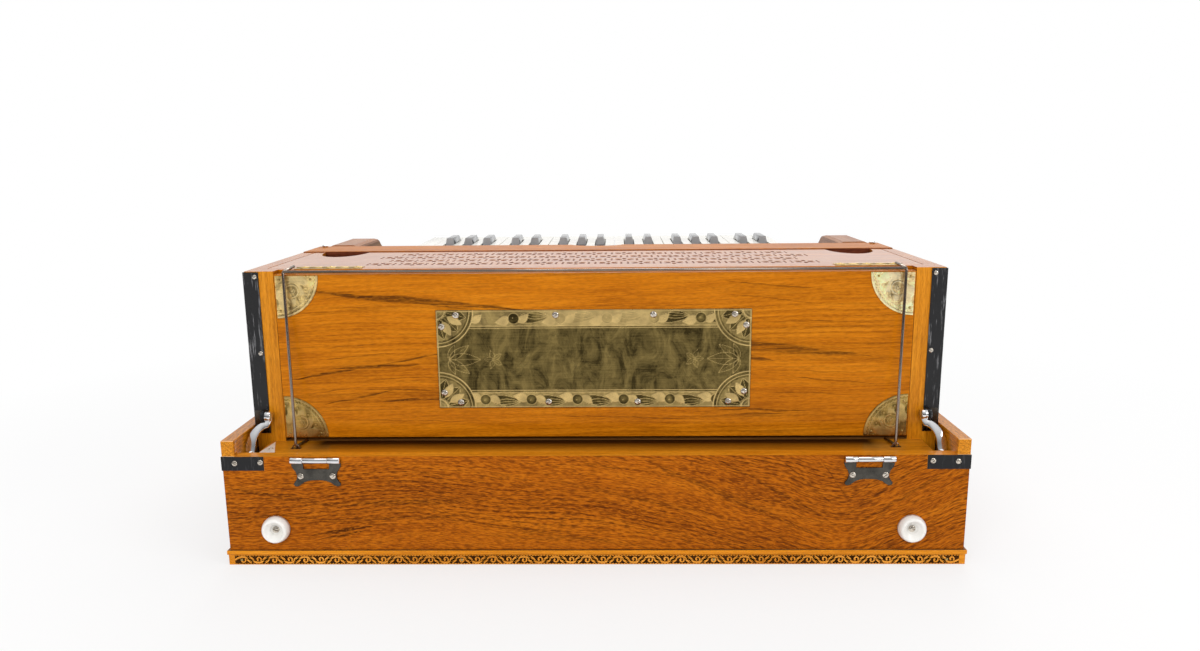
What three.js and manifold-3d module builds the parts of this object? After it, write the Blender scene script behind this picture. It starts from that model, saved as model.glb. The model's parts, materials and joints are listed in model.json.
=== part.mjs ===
// Folding Indian harmonium, raised for playing. Lengths are in millimetres, +Z is up.
// The audience side, with the bellows board, faces -Y and the player sits on the +Y side.
// While the pieces are made, Y is zero at the tray's front face. The group is centred at the end.
import * as THREE from 'three';
import { mergeVertices } from 'three/addons/utils/BufferGeometryUtils.js';
import Module from 'manifold-3d';

const wasm = await Module();
wasm.setup();

// Shared values
const OVERRUN = 3;
const SEAT_GAP = 0.3;
const BORE_GAP = 0.1;
const JOIN_LAP = 0.5;
const ROUND_SIDES = 24;
const SMALL_SIDES = 12;
const ARC_STEPS = 8;

// Case tray and its base
const TRAY_WIDTH = 690;
const TRAY_WALL = 12;
const FRONT_TOP = 107;
const SIDE_TOP = 122;
const PLINTH_HEIGHT = 14.5;
const PLINTH_OUT = 2.5;
const PLINTH_STEP = 1;
const PLINTH_RAIL = 4;
const STRAP_LENGTH = 39;
const STRAP_HEIGHT = 13.5;
const STRAP_THICK = 0.8;

// Cabinet
const CABINET_SIDE_GAP = 2.5;
const CABINET_DEPTH = 360;
const CABINET_TOP = 273.2;
const SIDE_PANEL = 14;
const LEDGE_GAP = 2;
const LEDGE_DEPTH = 36;
const LEDGE_TOP = 105.6;
const BASE_BOARD = 12;
const POST_WIDTH = 13.5;
const RECESS_DEPTH = 24;
const INNER_PANEL = 10;
const FOLD_CAP = 6;
const TOP_BOARD = 8;
const CLEAT = 8.5;
const LINING = 12;
const FACE_BOARD = 12;
const AIR_HOLE_RADIUS = 16;
const AIR_HOLE_SPACING = 220;

// Lift arms
const LIFT_DROP = 68;
const LINK_REACH = 21;
const PIVOT_FORWARD = 8.5;
const PIVOT_RISE = 27.4;
const REAR_PIVOT_IN = 10;
const REAR_GAP = 2;
const POCKET_GAP = 1.5;
const BOSS_RADIUS = 6;
const PIN_RADIUS = 2.5;
const PIN_DEPTH = 8;
const ARM_WIDTH = 7.5;
const ARM_THICK = 4.5;
const ARM_WALL_GAP = 1.5;
const CRANK_IN = 13;
const CRANK_START = 14;
const CRANK_LENGTH = 11;
const EYE_RADIUS = 5.5;
const EYE_WIDTH = 6;

// Corner angles with their pivot brackets
const ANGLE_WIDTH = 13.5;
const ANGLE_THICK = 1.2;
const ANGLE_RETURN = 12;
const ANGLE_LENGTH = 134;
const ANGLE_TOP_GAP = 0.7;
const BRACKET_LENGTH = 24.5;
const EAR_THICK = 3;
const EAR_GAP = 0.7;

// Top lid and rear rail
const LID_SETBACK = 22;
const LID_SIDE_GAP = 0.7;
const RAIL_DEPTH = 58;
const RAIL_THICK = 10;
const RAIL_RISE = 1;
const RAIL_NOTCH_WIDTH = 58;
const RAIL_NOTCH_DEPTH = 14;
const NOTCH_LENGTH = 50;
const NOTCH_DEPTH = 46;
const NOTCH_FROM_SIDE = 18;
const FRET_NOTCH_GAP = 13.5;
const FRET_MARGIN = 14;
const FRET_RIB = 7;
const FRET_COLUMNS = 14;
const FRET_ROWS = 4;
const LID_STRIP_SETBACK = 13;

// Bellows
const BOARD_THICK = 12;
const BOARD_SIDE_GAP = 1.5;
const BOARD_FOOT_GAP = 3.4;
const BOARD_TOP_GAP = 3.2;
const CORNER_RADIUS = 41;
const CORNER_THICK = 0.9;
const CORNER_INSET = 1;
const FOLD_COUNT = 5;
const FOLD_INSET = 4;
const FOLD_RIDGE = 3;
const FOLD_HEAD_GAP = 2;
const PLATE_WIDTH = 300;
const PLATE_HEIGHT = 96;
const PLATE_THICK = 1.2;
const PLATE_DROP = 2.5;
const SCREW_RADIUS = 3.6;
const SCREW_HEIGHT = 1.8;
const SCREW_INSET = 6.5;
const SCREW_EDGE = 0.6;

// Wire bail
const WIRE_RADIUS = 1.4;
const BAIL_INSET = 10.5;
const BAIL_FOOT_OUT = 23;
const BAIL_FOOT_LENGTH = 20;
const BAIL_HEAD_OUT = 3.5;
const BAIL_HOOK_LENGTH = 16;
const BAIL_HOOK_IN = 4;
const BAIL_HOOK_RISE = 3;

// Keyboard
const KEYBOARD_DEPTH = 140;
const KEY_PITCH = 20.15;
const WHITE_COUNT = 22;
const KEY_GAP = 0.8;
const KEY_DROP = 2.2;
const WHITE_THICK = 14;
const WHITE_HEAD = 36;
const KEY_FRONT_GAP = 2;
const KEY_REAR_GAP = 2;
const BLACK_WIDTH = 11;
const BLACK_CROWN = 7.6;
const BLACK_RISE = 7;
const BLACK_SETBACK = 50;
const BLACK_SLOPE = 5;
const BLACK_FRONT_GAP = 2.2;
const BLACK_TAIL_DROP = 2;
const LEVER_WIDTH = 8;
const LEVER_THICK = 10;
const LEVER_REAR = 14;
const LEVER_NOSE = 12;
const FULCRUM_SETBACK = 30;
const CARRIAGE_THICK = 8;
const CARRIAGE_MARGIN = 4;
const RIDGE_HEIGHT = 1.4;
const RIDGE_TOP = 1;
const RIDGE_FOOT = 8;
const CARRIAGE_REAR_GAP = 6;
const STOP_RAIL_SETBACK = 26;
const STOP_RAIL_WIDTH = 8;
const STOP_RAIL_HEIGHT = 5.6;
const GRIP_WIDTH = 40;
const GRIP_OUT = 8;
const GRIP_THICK = 6;
const KEY_BED = 12;

// Cheek blocks at both ends of the keyboard
const CHEEK_WIDTH = 40.5;
const CHEEK_RISE = 4.8;
const CHEEK_GAP = 14;
const CHEEK_CHAMFER_WIDTH = 12;
const CHEEK_CHAMFER_HEIGHT = 9;
const CHEEK_ROUND = 4;
const CHEEK_FRONT_DROP = 20;
const CHEEK_FRONT_RUN = 44;
const CHEEK_SEAT_DROP = 11;

// Stops on the player's side
const STOP_RISE = 94.4;
const STOP_SPACING = 150;
const STOP_STEM_RADIUS = 4;
const STOP_STEM_LENGTH = 34;
const STOP_KNOB_RADIUS = 11;
const STOP_KNOB_LENGTH = 18;
const STOP_STANDOFF = 2;
const STOP_NECK_SHARE = 0.6;
const STOP_FACE_SHARE = 0.8;
const STOP_FLARE_SHARE = 0.35;

// Fittings on the tray's front
const HINGE_WIDTH = 46;
const HINGE_HEIGHT = 27;
const HINGE_THICK = 1.6;
const HINGE_IN_LEFT = 88;
const HINGE_IN_RIGHT = 92;
const HINGE_SLOT_WIDTH = 24;
const HINGE_SLOT_HEIGHT = 5;
const HINGE_SLOT_DROP = 7;
const HINGE_HOLLOW = 4;
const HINGE_EAR = 7;
const KNUCKLE_RADIUS = 3;
const KNUCKLE_LENGTH = 12;
const KNUCKLE_PIN_RADIUS = 1.5;
const BUFFER_RADIUS = 13;
const BUFFER_OUT = 8;
const BUFFER_RIM = 2;
const BUFFER_BASE = 3;
const BUFFER_DISH_RADIUS = 6;
const BUFFER_DISH_DEPTH = 4;
const BUFFER_HOLE_RADIUS = 5;
const BUFFER_HOLE_DEPTH = 6;
const BUFFER_HEIGHT = 36;
const BUFFER_IN_LEFT = 46;
const BUFFER_IN_RIGHT = 50;

// Places that follow from the sizes above
const POST_FRONT_Y = TRAY_WALL + LEDGE_GAP + LEDGE_DEPTH;
const CABINET_REAR_Y = POST_FRONT_Y + CABINET_DEPTH;
const TRAY_SIDE_X = TRAY_WIDTH / 2;
const TRAY_INNER_X = TRAY_SIDE_X - TRAY_WALL;
const CABINET_SIDE_X = TRAY_INNER_X - CABINET_SIDE_GAP;
const INNER_X = CABINET_SIDE_X - SIDE_PANEL;
const BASE_BOTTOM_Z = LEDGE_TOP - BASE_BOARD;
const LINK_LENGTH = Math.hypot(LINK_REACH, LIFT_DROP / 2);
const LIFT_SHIFT = LINK_LENGTH - LINK_REACH;
const TRAY_DEPTH = CABINET_REAR_Y + LIFT_SHIFT + REAR_GAP + TRAY_WALL;
const TOP_PIVOT_Z = LEDGE_TOP + PIVOT_RISE;
const LOW_PIVOT_Z = TOP_PIVOT_Z - LIFT_DROP / 2;
const FRONT_PIVOT_Y = POST_FRONT_Y - PIVOT_FORWARD;
const REAR_PIVOT_Y = CABINET_REAR_Y - REAR_PIVOT_IN;
const POCKET_FRONT_Y = REAR_PIVOT_Y - LINK_LENGTH - BOSS_RADIUS - POCKET_GAP;
const POCKET_TOP_Z = TOP_PIVOT_Z + LIFT_DROP / 2 + BOSS_RADIUS + POCKET_GAP;
const ARM_X = TRAY_INNER_X - ARM_WALL_GAP - ARM_WIDTH / 2;
const INNER_PANEL_Y = POST_FRONT_Y + RECESS_DEPTH;
const LID_FRONT_Y = POST_FRONT_Y + LID_SETBACK;
const RAIL_REAR_Y = CABINET_REAR_Y - KEYBOARD_DEPTH;
const RAIL_FRONT_Y = RAIL_REAR_Y - RAIL_DEPTH;
const NOTCH_OUTER_X = INNER_X - NOTCH_FROM_SIDE;
const FRET_WIDTH = 2 * (NOTCH_OUTER_X - NOTCH_LENGTH - FRET_NOTCH_GAP);
const RAIL_TOP_Z = CABINET_TOP + RAIL_RISE;
const RAIL_SEAT_Z = RAIL_TOP_Z - RAIL_THICK;
const LID_SEAT_Z = CABINET_TOP - TOP_BOARD;
const WHITE_TOP_Z = CABINET_TOP - KEY_DROP;
const WHITE_BOTTOM_Z = WHITE_TOP_Z - WHITE_THICK;
const BLACK_TOP_Z = WHITE_TOP_Z + BLACK_RISE;
const LEVER_TOP_Z = WHITE_BOTTOM_Z - KEY_GAP;
const LEVER_BOTTOM_Z = LEVER_TOP_Z - LEVER_THICK;
const RIDGE_TOP_Z = LEVER_BOTTOM_Z - SEAT_GAP;
const CARRIAGE_TOP_Z = RIDGE_TOP_Z - RIDGE_HEIGHT;
const CARRIAGE_BOTTOM_Z = CARRIAGE_TOP_Z - CARRIAGE_THICK;
const KEY_BED_TOP_Z = CARRIAGE_BOTTOM_Z - SEAT_GAP;
const KEY_FRONT_Y = CABINET_REAR_Y - KEY_FRONT_GAP;
const KEY_REAR_Y = RAIL_REAR_Y + KEY_REAR_GAP;
const HEAD_REAR_Y = KEY_FRONT_Y - WHITE_HEAD;
const BLACK_REAR_Y = RAIL_REAR_Y + BLACK_SETBACK;
const BLACK_FRONT_Y = HEAD_REAR_Y - BLACK_FRONT_GAP;
const FULCRUM_Y = RAIL_REAR_Y + FULCRUM_SETBACK;
const LEVER_REAR_Y = RAIL_FRONT_Y + LEVER_REAR;
const KEYBOARD_HALF = (WHITE_COUNT * KEY_PITCH) / 2;
const BOARD_REAR_Y = POST_FRONT_Y + BOARD_THICK;
const BOARD_BOTTOM_Z = LEDGE_TOP + BOARD_FOOT_GAP;
const BOARD_TOP_Z = CABINET_TOP - BOARD_TOP_GAP;
const BOARD_HALF = INNER_X - POST_WIDTH - BOARD_SIDE_GAP;
const CHEEK_INNER_X = CABINET_SIDE_X - CHEEK_WIDTH;
const CHEEK_TOP_Z = CABINET_TOP + CHEEK_RISE;
const CHEEK_SEAT_Z = CABINET_TOP - CHEEK_SEAT_DROP;
const MIDDLE_Y = (TRAY_DEPTH + PLINTH_OUT - BUFFER_OUT) / 2;

// Materials
function material(colour, roughness, metalness) {
  return new THREE.MeshStandardMaterial({ color: colour, roughness, metalness });
}
const MATERIALS = {
  veneer: material(0x9a5426, 0.35, 0),
  wood: material(0xb9681f, 0.35, 0),
  chrome: material(0xd5d8db, 0.15, 1),
  brass: material(0xc9a24a, 0.3, 1),
  black: material(0x191919, 0.4, 0.2),
  white: material(0xe9e7e0, 0.35, 0),
  ivory: material(0xf2eee2, 0.3, 0),
  cloth: material(0x6d2026, 0.8, 0),
};

// Solids. Every shape becomes a manifold, so that it can be joined and cut.
function solid(geometry) {
  const plain = geometry.clone();
  plain.deleteAttribute('normal');
  plain.deleteAttribute('uv');
  const merged = mergeVertices(plain);
  const vertProperties = new Float32Array(merged.attributes.position.array);
  const triVerts = new Uint32Array(merged.index.array);
  return new wasm.Manifold(new wasm.Mesh({ numProp: 3, vertProperties, triVerts }));
}

function geometryOf(body) {
  const made = body.getMesh();
  const geometry = new THREE.BufferGeometry();
  const positions = new Float32Array(made.vertProperties);
  geometry.setAttribute('position', new THREE.BufferAttribute(positions, made.numProp));
  geometry.setIndex(new THREE.BufferAttribute(new Uint32Array(made.triVerts), 1));
  geometry.computeVertexNormals();
  return geometry;
}

// The same body on the other side of the middle plane. Mirroring turns every face round.
function mirrored(body) {
  const made = body.getMesh();
  const vertProperties = new Float32Array(made.vertProperties);
  for (let i = 0; i < vertProperties.length; i += made.numProp) {
    vertProperties[i] = -vertProperties[i];
  }
  const triVerts = new Uint32Array(made.triVerts);
  for (let i = 0; i < triVerts.length; i += 3) {
    const kept = triVerts[i];
    triVerts[i] = triVerts[i + 1];
    triVerts[i + 1] = kept;
  }
  return new wasm.Manifold(new wasm.Mesh({ numProp: made.numProp, vertProperties, triVerts }));
}

function bothSides(body) {
  return body.add(mirrored(body));
}

function joined(bodies) {
  return bodies.reduce((whole, body) => whole.add(body));
}

function box(x0, x1, y0, y1, z0, z1) {
  const geometry = new THREE.BoxGeometry(x1 - x0, y1 - y0, z1 - z0);
  geometry.translate((x0 + x1) / 2, (y0 + y1) / 2, (z0 + z1) / 2);
  return solid(geometry);
}

function extruded(points, length) {
  const shape = new THREE.Shape(points.map(([a, b]) => new THREE.Vector2(a, b)));
  return new THREE.ExtrudeGeometry(shape, { depth: length, bevelEnabled: false, steps: 1 });
}

// An outline in X and Y, raised along Z
function prismZ(points, z0, z1) {
  return solid(extruded(points, z1 - z0).translate(0, 0, z0));
}

// An outline in X and Z, drawn out along Y
function prismY(points, y0, y1) {
  return solid(extruded(points, y1 - y0).rotateX(Math.PI / 2).translate(0, y1, 0));
}

// An outline in Y and Z, drawn out along X
function prismX(points, x0, x1) {
  const turn = new THREE.Matrix4().makeBasis(
    new THREE.Vector3(0, 1, 0), new THREE.Vector3(0, 0, 1), new THREE.Vector3(1, 0, 0));
  return solid(extruded(points, x1 - x0).applyMatrix4(turn).translate(x0, 0, 0));
}

// A round rod between two points
function rod(from, to, radius, sides = ROUND_SIDES) {
  const start = new THREE.Vector3(...from);
  const way = new THREE.Vector3(...to).sub(start);
  const geometry = new THREE.CylinderGeometry(radius, radius, way.length(), sides);
  geometry.translate(0, way.length() / 2, 0);
  const up = new THREE.Vector3(0, 1, 0);
  geometry.applyQuaternion(new THREE.Quaternion().setFromUnitVectors(up, way.normalize()));
  return solid(geometry.translate(...from));
}

function rodX(x0, x1, y, z, radius, sides) {
  return rod([x0, y, z], [x1, y, z], radius, sides);
}

function rodY(y0, y1, x, z, radius, sides) {
  return rod([x, y0, z], [x, y1, z], radius, sides);
}

// A turned piece. The profile lists radius and height, and the height runs along Y from y0.
function turnedY(profile, x, y0, z, sides = ROUND_SIDES) {
  const points = profile.map(([radius, height]) => new THREE.Vector2(radius, height));
  if (THREE.ShapeUtils.area(points) < 0) {
    points.reverse();
  }
  const geometry = new THREE.LatheGeometry(points, sides);
  return solid(geometry.translate(x, y0, z));
}

// Case tray
function trayWalls() {
  const half = TRAY_SIDE_X;
  const front = box(-half, half, 0, TRAY_WALL, PLINTH_HEIGHT, FRONT_TOP);
  const rear = box(-half, half, TRAY_DEPTH - TRAY_WALL, TRAY_DEPTH, PLINTH_HEIGHT, FRONT_TOP);
  const side = box(TRAY_INNER_X, half, 0, TRAY_DEPTH, PLINTH_HEIGHT, SIDE_TOP);
  return joined([front, rear, bothSides(side)]);
}

function cornerStrap() {
  const half = TRAY_SIDE_X;
  const outer = half + STRAP_THICK;
  const low = FRONT_TOP - STRAP_HEIGHT;
  return box(half - STRAP_LENGTH, outer, -STRAP_THICK, STRAP_LENGTH, low, FRONT_TOP)
    .subtract(box(half - STRAP_LENGTH - OVERRUN, half - JOIN_LAP, JOIN_LAP,
      STRAP_LENGTH + OVERRUN, low - OVERRUN, FRONT_TOP + OVERRUN));
}

function caseTray() {
  const body = joined([trayWalls(), bothSides(cornerStrap())]);
  const lowY = FRONT_PIVOT_Y - LINK_REACH;
  const rearY = REAR_PIVOT_Y - LINK_REACH;
  const holes = [lowY, rearY].map((y) => rodX(TRAY_INNER_X - OVERRUN,
    TRAY_INNER_X + PIN_DEPTH + SEAT_GAP, y, LOW_PIVOT_Z, PIN_RADIUS + BORE_GAP));
  return body.subtract(bothSides(joined(holes)));
}

function basePlinth() {
  const half = TRAY_SIDE_X + PLINTH_OUT;
  const inlay = half - PLINTH_STEP;
  const inlayTop = PLINTH_HEIGHT - PLINTH_RAIL;
  const rail = box(-half, half, -PLINTH_OUT, TRAY_DEPTH + PLINTH_OUT, inlayTop, PLINTH_HEIGHT);
  const board = box(-inlay, inlay, PLINTH_STEP - PLINTH_OUT,
    TRAY_DEPTH + PLINTH_OUT - PLINTH_STEP, 0, inlayTop + JOIN_LAP);
  return rail.add(board);
}

// Lid hinge half: a plate with a hollow foot, a slot and two rolled knuckles
function lidHinge(x) {
  const half = HINGE_WIDTH / 2;
  const low = FRONT_TOP - HINGE_HEIGHT;
  const outline = [
    [x - half, FRONT_TOP], [x - half, low], [x - half + HINGE_EAR, low + HINGE_HOLLOW],
    [x + half - HINGE_EAR, low + HINGE_HOLLOW], [x + half, low], [x + half, FRONT_TOP],
  ];
  const plate = prismY(outline, -HINGE_THICK, 0);
  const slotTop = FRONT_TOP - HINGE_SLOT_DROP;
  const slot = box(x - HINGE_SLOT_WIDTH / 2, x + HINGE_SLOT_WIDTH / 2,
    -HINGE_THICK - OVERRUN, OVERRUN, slotTop - HINGE_SLOT_HEIGHT, slotTop);
  const y = -KNUCKLE_RADIUS;
  const z = FRONT_TOP - KNUCKLE_RADIUS;
  const knuckles = [
    rodX(x - half, x - half + KNUCKLE_LENGTH, y, z, KNUCKLE_RADIUS),
    rodX(x + half - KNUCKLE_LENGTH, x + half, y, z, KNUCKLE_RADIUS),
    rodX(x - half + JOIN_LAP, x + half - JOIN_LAP, y, z, KNUCKLE_PIN_RADIUS),
  ];
  return plate.subtract(slot).add(joined(knuckles));
}

// Dished buffer with a screw recess, standing out from the front wall
function buffer(x) {
  const profile = [
    [0, BUFFER_OUT - BUFFER_HOLE_DEPTH],
    [BUFFER_HOLE_RADIUS, BUFFER_OUT - BUFFER_HOLE_DEPTH],
    [BUFFER_HOLE_RADIUS, BUFFER_OUT - BUFFER_DISH_DEPTH],
    [BUFFER_DISH_RADIUS, BUFFER_OUT - BUFFER_DISH_DEPTH],
    [BUFFER_RADIUS - 2 * BUFFER_RIM, BUFFER_OUT],
    [BUFFER_RADIUS - BUFFER_RIM, BUFFER_OUT],
    [BUFFER_RADIUS, BUFFER_BASE],
    [BUFFER_RADIUS, 0],
    [0, 0],
  ];
  const points = profile.map(([radius, height]) => [radius, -height]);
  return turnedY(points, x, 0, BUFFER_HEIGHT);
}

// Lift arms. The bar's outline lies in the plane of the link and the X axis.
function crankOffset(share) {
  return (1 - Math.cos(Math.PI * share)) / 2;
}

function armBar(pivotY, crank) {
  const centres = [[0, ARM_X]];
  for (let i = 0; i <= ARC_STEPS; i += 1) {
    const share = i / ARC_STEPS;
    centres.push([CRANK_START + CRANK_LENGTH * share, ARM_X - crank * crankOffset(share)]);
  }
  centres.push([LINK_LENGTH, ARM_X - crank]);
  const halfAt = (s) => (s > CRANK_START ? EYE_WIDTH / 2 : ARM_WIDTH / 2);
  const outer = centres.map(([s, x]) => [s, x + halfAt(s)]);
  const inner = centres.map(([s, x]) => [s, x - halfAt(s)]).reverse();
  const along = new THREE.Vector3(0, LINK_REACH, LIFT_DROP / 2).normalize();
  const across = new THREE.Vector3(1, 0, 0);
  const normal = new THREE.Vector3().crossVectors(along, across);
  const place = new THREE.Matrix4().makeBasis(along, across, normal);
  place.setPosition(0, pivotY - LINK_REACH, LOW_PIVOT_Z);
  const geometry = extruded([...inner, ...outer], ARM_THICK).translate(0, 0, -ARM_THICK / 2);
  return solid(geometry.applyMatrix4(place));
}

function armFoot(pivotY) {
  const y = pivotY - LINK_REACH;
  const outer = ARM_X + ARM_WIDTH / 2;
  const boss = rodX(ARM_X - ARM_WIDTH / 2, outer, y, LOW_PIVOT_Z, BOSS_RADIUS);
  const pin = rodX(outer - JOIN_LAP, TRAY_INNER_X + PIN_DEPTH, y, LOW_PIVOT_Z, PIN_RADIUS);
  return boss.add(pin);
}

function frontArm() {
  const x = ARM_X - CRANK_IN;
  const eye = rodX(x - EYE_WIDTH / 2, x + EYE_WIDTH / 2, FRONT_PIVOT_Y, TOP_PIVOT_Z, EYE_RADIUS);
  const pin = rodX(x, x + EYE_WIDTH / 2 + EAR_GAP + EAR_THICK + EAR_GAP, FRONT_PIVOT_Y,
    TOP_PIVOT_Z, PIN_RADIUS);
  return joined([armBar(FRONT_PIVOT_Y, CRANK_IN), armFoot(FRONT_PIVOT_Y), eye, pin]);
}

function rearArm() {
  const inner = ARM_X - ARM_WIDTH / 2;
  const boss = rodX(inner, ARM_X + ARM_WIDTH / 2, REAR_PIVOT_Y, TOP_PIVOT_Z, BOSS_RADIUS);
  const pin = rodX(INNER_X - PIN_DEPTH, inner + JOIN_LAP, REAR_PIVOT_Y, TOP_PIVOT_Z, PIN_RADIUS);
  return joined([armBar(REAR_PIVOT_Y, 0), armFoot(REAR_PIVOT_Y), boss, pin]);
}

// Cabinet: boards glued into one carcass
function baseBoard() {
  return box(-INNER_X - JOIN_LAP, INNER_X + JOIN_LAP, POST_FRONT_Y, CABINET_REAR_Y,
    BASE_BOTTOM_Z, LEDGE_TOP)
    .add(box(-INNER_X, INNER_X, TRAY_WALL + LEDGE_GAP, POST_FRONT_Y + JOIN_LAP,
      BASE_BOTTOM_Z, LEDGE_TOP));
}

function sidePanel() {
  const outline = [
    [POST_FRONT_Y, BASE_BOTTOM_Z], [POCKET_FRONT_Y, BASE_BOTTOM_Z],
    [POCKET_FRONT_Y, POCKET_TOP_Z], [CABINET_REAR_Y, POCKET_TOP_Z],
    [CABINET_REAR_Y, CHEEK_SEAT_Z], [RAIL_REAR_Y, CHEEK_SEAT_Z],
    [RAIL_REAR_Y, RAIL_SEAT_Z], [RAIL_FRONT_Y, RAIL_SEAT_Z],
    [RAIL_FRONT_Y, CABINET_TOP], [POST_FRONT_Y, CABINET_TOP],
  ];
  return prismX(outline, INNER_X, CABINET_SIDE_X);
}

function frontFrame() {
  const post = box(INNER_X - POST_WIDTH, INNER_X + JOIN_LAP, POST_FRONT_Y,
    INNER_PANEL_Y + JOIN_LAP, LEDGE_TOP - JOIN_LAP, CABINET_TOP);
  const panel = box(-INNER_X - JOIN_LAP, INNER_X + JOIN_LAP, INNER_PANEL_Y,
    INNER_PANEL_Y + INNER_PANEL, LEDGE_TOP - JOIN_LAP, LID_SEAT_Z);
  const strip = box(-INNER_X, INNER_X, POST_FRONT_Y + LID_STRIP_SETBACK, LID_FRONT_Y,
    LID_SEAT_Z, CABINET_TOP);
  const lap = box(-INNER_X, INNER_X, INNER_PANEL_Y - FOLD_CAP, INNER_PANEL_Y + INNER_PANEL,
    LID_SEAT_Z - CLEAT, LID_SEAT_Z + JOIN_LAP);
  const holes = [-AIR_HOLE_SPACING / 2, AIR_HOLE_SPACING / 2].map((x) => rodY(
    INNER_PANEL_Y - OVERRUN, INNER_PANEL_Y + INNER_PANEL + OVERRUN, x,
    (LEDGE_TOP + CABINET_TOP) / 2, AIR_HOLE_RADIUS));
  const lidRoom = box(-INNER_X, INNER_X, LID_FRONT_Y, CABINET_REAR_Y, LID_SEAT_Z,
    CABINET_TOP + OVERRUN);
  return joined([bothSides(post), panel, strip, lap]).subtract(joined([lidRoom, ...holes]));
}

function cleat() {
  return box(INNER_X - CLEAT, INNER_X + JOIN_LAP, INNER_PANEL_Y, RAIL_FRONT_Y,
    LID_SEAT_Z - CLEAT, LID_SEAT_Z);
}

function rearFrame() {
  const keyBedBottom = KEY_BED_TOP_Z - KEY_BED;
  const lining = box(INNER_X - LINING, INNER_X + JOIN_LAP, POCKET_FRONT_Y - LINING,
    CABINET_REAR_Y, LEDGE_TOP - JOIN_LAP, KEY_BED_TOP_Z);
  const face = box(-INNER_X, INNER_X, CABINET_REAR_Y - FACE_BOARD, CABINET_REAR_Y,
    LEDGE_TOP - JOIN_LAP, KEY_BED_TOP_Z);
  const bed = box(-INNER_X - JOIN_LAP, INNER_X + JOIN_LAP, LEVER_REAR_Y, CABINET_REAR_Y,
    keyBedBottom, KEY_BED_TOP_Z);
  return joined([bothSides(lining), face, bed]);
}

function cheek() {
  const slopeTop = CABINET_SIDE_X - CHEEK_CHAMFER_WIDTH;
  const across = [
    [CHEEK_INNER_X, KEY_BED_TOP_Z - JOIN_LAP], [CABINET_SIDE_X, KEY_BED_TOP_Z - JOIN_LAP],
    [CABINET_SIDE_X, CHEEK_TOP_Z - CHEEK_CHAMFER_HEIGHT], [slopeTop, CHEEK_TOP_Z],
    [CHEEK_INNER_X + CHEEK_ROUND, CHEEK_TOP_Z], [CHEEK_INNER_X, CHEEK_TOP_Z - CHEEK_ROUND],
  ];
  const front = CABINET_REAR_Y;
  const drop = CHEEK_TOP_Z - CHEEK_FRONT_DROP;
  const along = [[RAIL_REAR_Y + CHEEK_GAP, KEY_BED_TOP_Z - JOIN_LAP],
    [front, KEY_BED_TOP_Z - JOIN_LAP]];
  for (let i = 0; i <= ARC_STEPS; i += 1) {
    const share = i / ARC_STEPS;
    along.push([front - CHEEK_FRONT_RUN * share, drop + CHEEK_FRONT_DROP * crankOffset(share)]);
  }
  along.push([RAIL_REAR_Y + CHEEK_GAP, CHEEK_TOP_Z]);
  const length = prismY(across, RAIL_REAR_Y, CABINET_REAR_Y + OVERRUN);
  return length.intersect(prismX(along, CHEEK_INNER_X - OVERRUN, CABINET_SIDE_X + OVERRUN));
}

function stopPlaces() {
  return [-STOP_SPACING, 0, STOP_SPACING];
}

function cabinetCase() {
  const body = joined([baseBoard(), frontFrame(), rearFrame(),
    bothSides(joined([sidePanel(), cleat(), cheek()]))]);
  const pinHole = rodX(INNER_X - PIN_DEPTH - SEAT_GAP, INNER_X + OVERRUN, REAR_PIVOT_Y,
    TOP_PIVOT_Z, PIN_RADIUS + BORE_GAP);
  const stopHoles = stopPlaces().map((x) => rodY(CABINET_REAR_Y - FACE_BOARD - OVERRUN,
    CABINET_REAR_Y + OVERRUN, x, LEDGE_TOP + STOP_RISE, STOP_STEM_RADIUS + BORE_GAP));
  return body.subtract(joined([bothSides(pinHole), ...stopHoles]));
}

// Corner angle on the post and side panel, ending below in the front arm's pivot bracket
function cornerAngle() {
  const inner = CABINET_SIDE_X - ANGLE_WIDTH;
  const outer = CABINET_SIDE_X + ANGLE_THICK;
  const frontY = POST_FRONT_Y - ANGLE_THICK;
  const top = CABINET_TOP - ANGLE_TOP_GAP;
  const low = top - ANGLE_LENGTH;
  const strip = box(inner, outer, frontY, POST_FRONT_Y, low - BRACKET_LENGTH, top);
  const side = box(CABINET_SIDE_X, outer, frontY, POST_FRONT_Y + ANGLE_RETURN, low, top);
  const eyeFace = ARM_X - CRANK_IN + EYE_WIDTH / 2;
  const earInner = eyeFace + EAR_GAP;
  const earTop = TOP_PIVOT_Z + EYE_RADIUS;
  const earBack = box(earInner, earInner + EAR_THICK, FRONT_PIVOT_Y, POST_FRONT_Y - JOIN_LAP,
    TOP_PIVOT_Z - EYE_RADIUS, earTop);
  const earNose = rodX(earInner, earInner + EAR_THICK, FRONT_PIVOT_Y, TOP_PIVOT_Z, EYE_RADIUS);
  const hole = rodX(earInner - OVERRUN, earInner + EAR_THICK + OVERRUN, FRONT_PIVOT_Y,
    TOP_PIVOT_Z, PIN_RADIUS + BORE_GAP);
  return joined([strip, side, earBack, earNose]).subtract(hole);
}

// Top lid with finger notches at its rear corners and a fretwork field
function fretHole(x, y, halfWidth, halfDepth) {
  const shoulder = halfWidth / 2;
  const points = [
    [x - halfWidth, y], [x - shoulder, y - halfDepth], [x + shoulder, y - halfDepth],
    [x + halfWidth, y], [x + shoulder, y + halfDepth], [x - shoulder, y + halfDepth],
  ];
  return prismZ(points, LID_SEAT_Z - OVERRUN, CABINET_TOP + OVERRUN);
}

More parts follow.
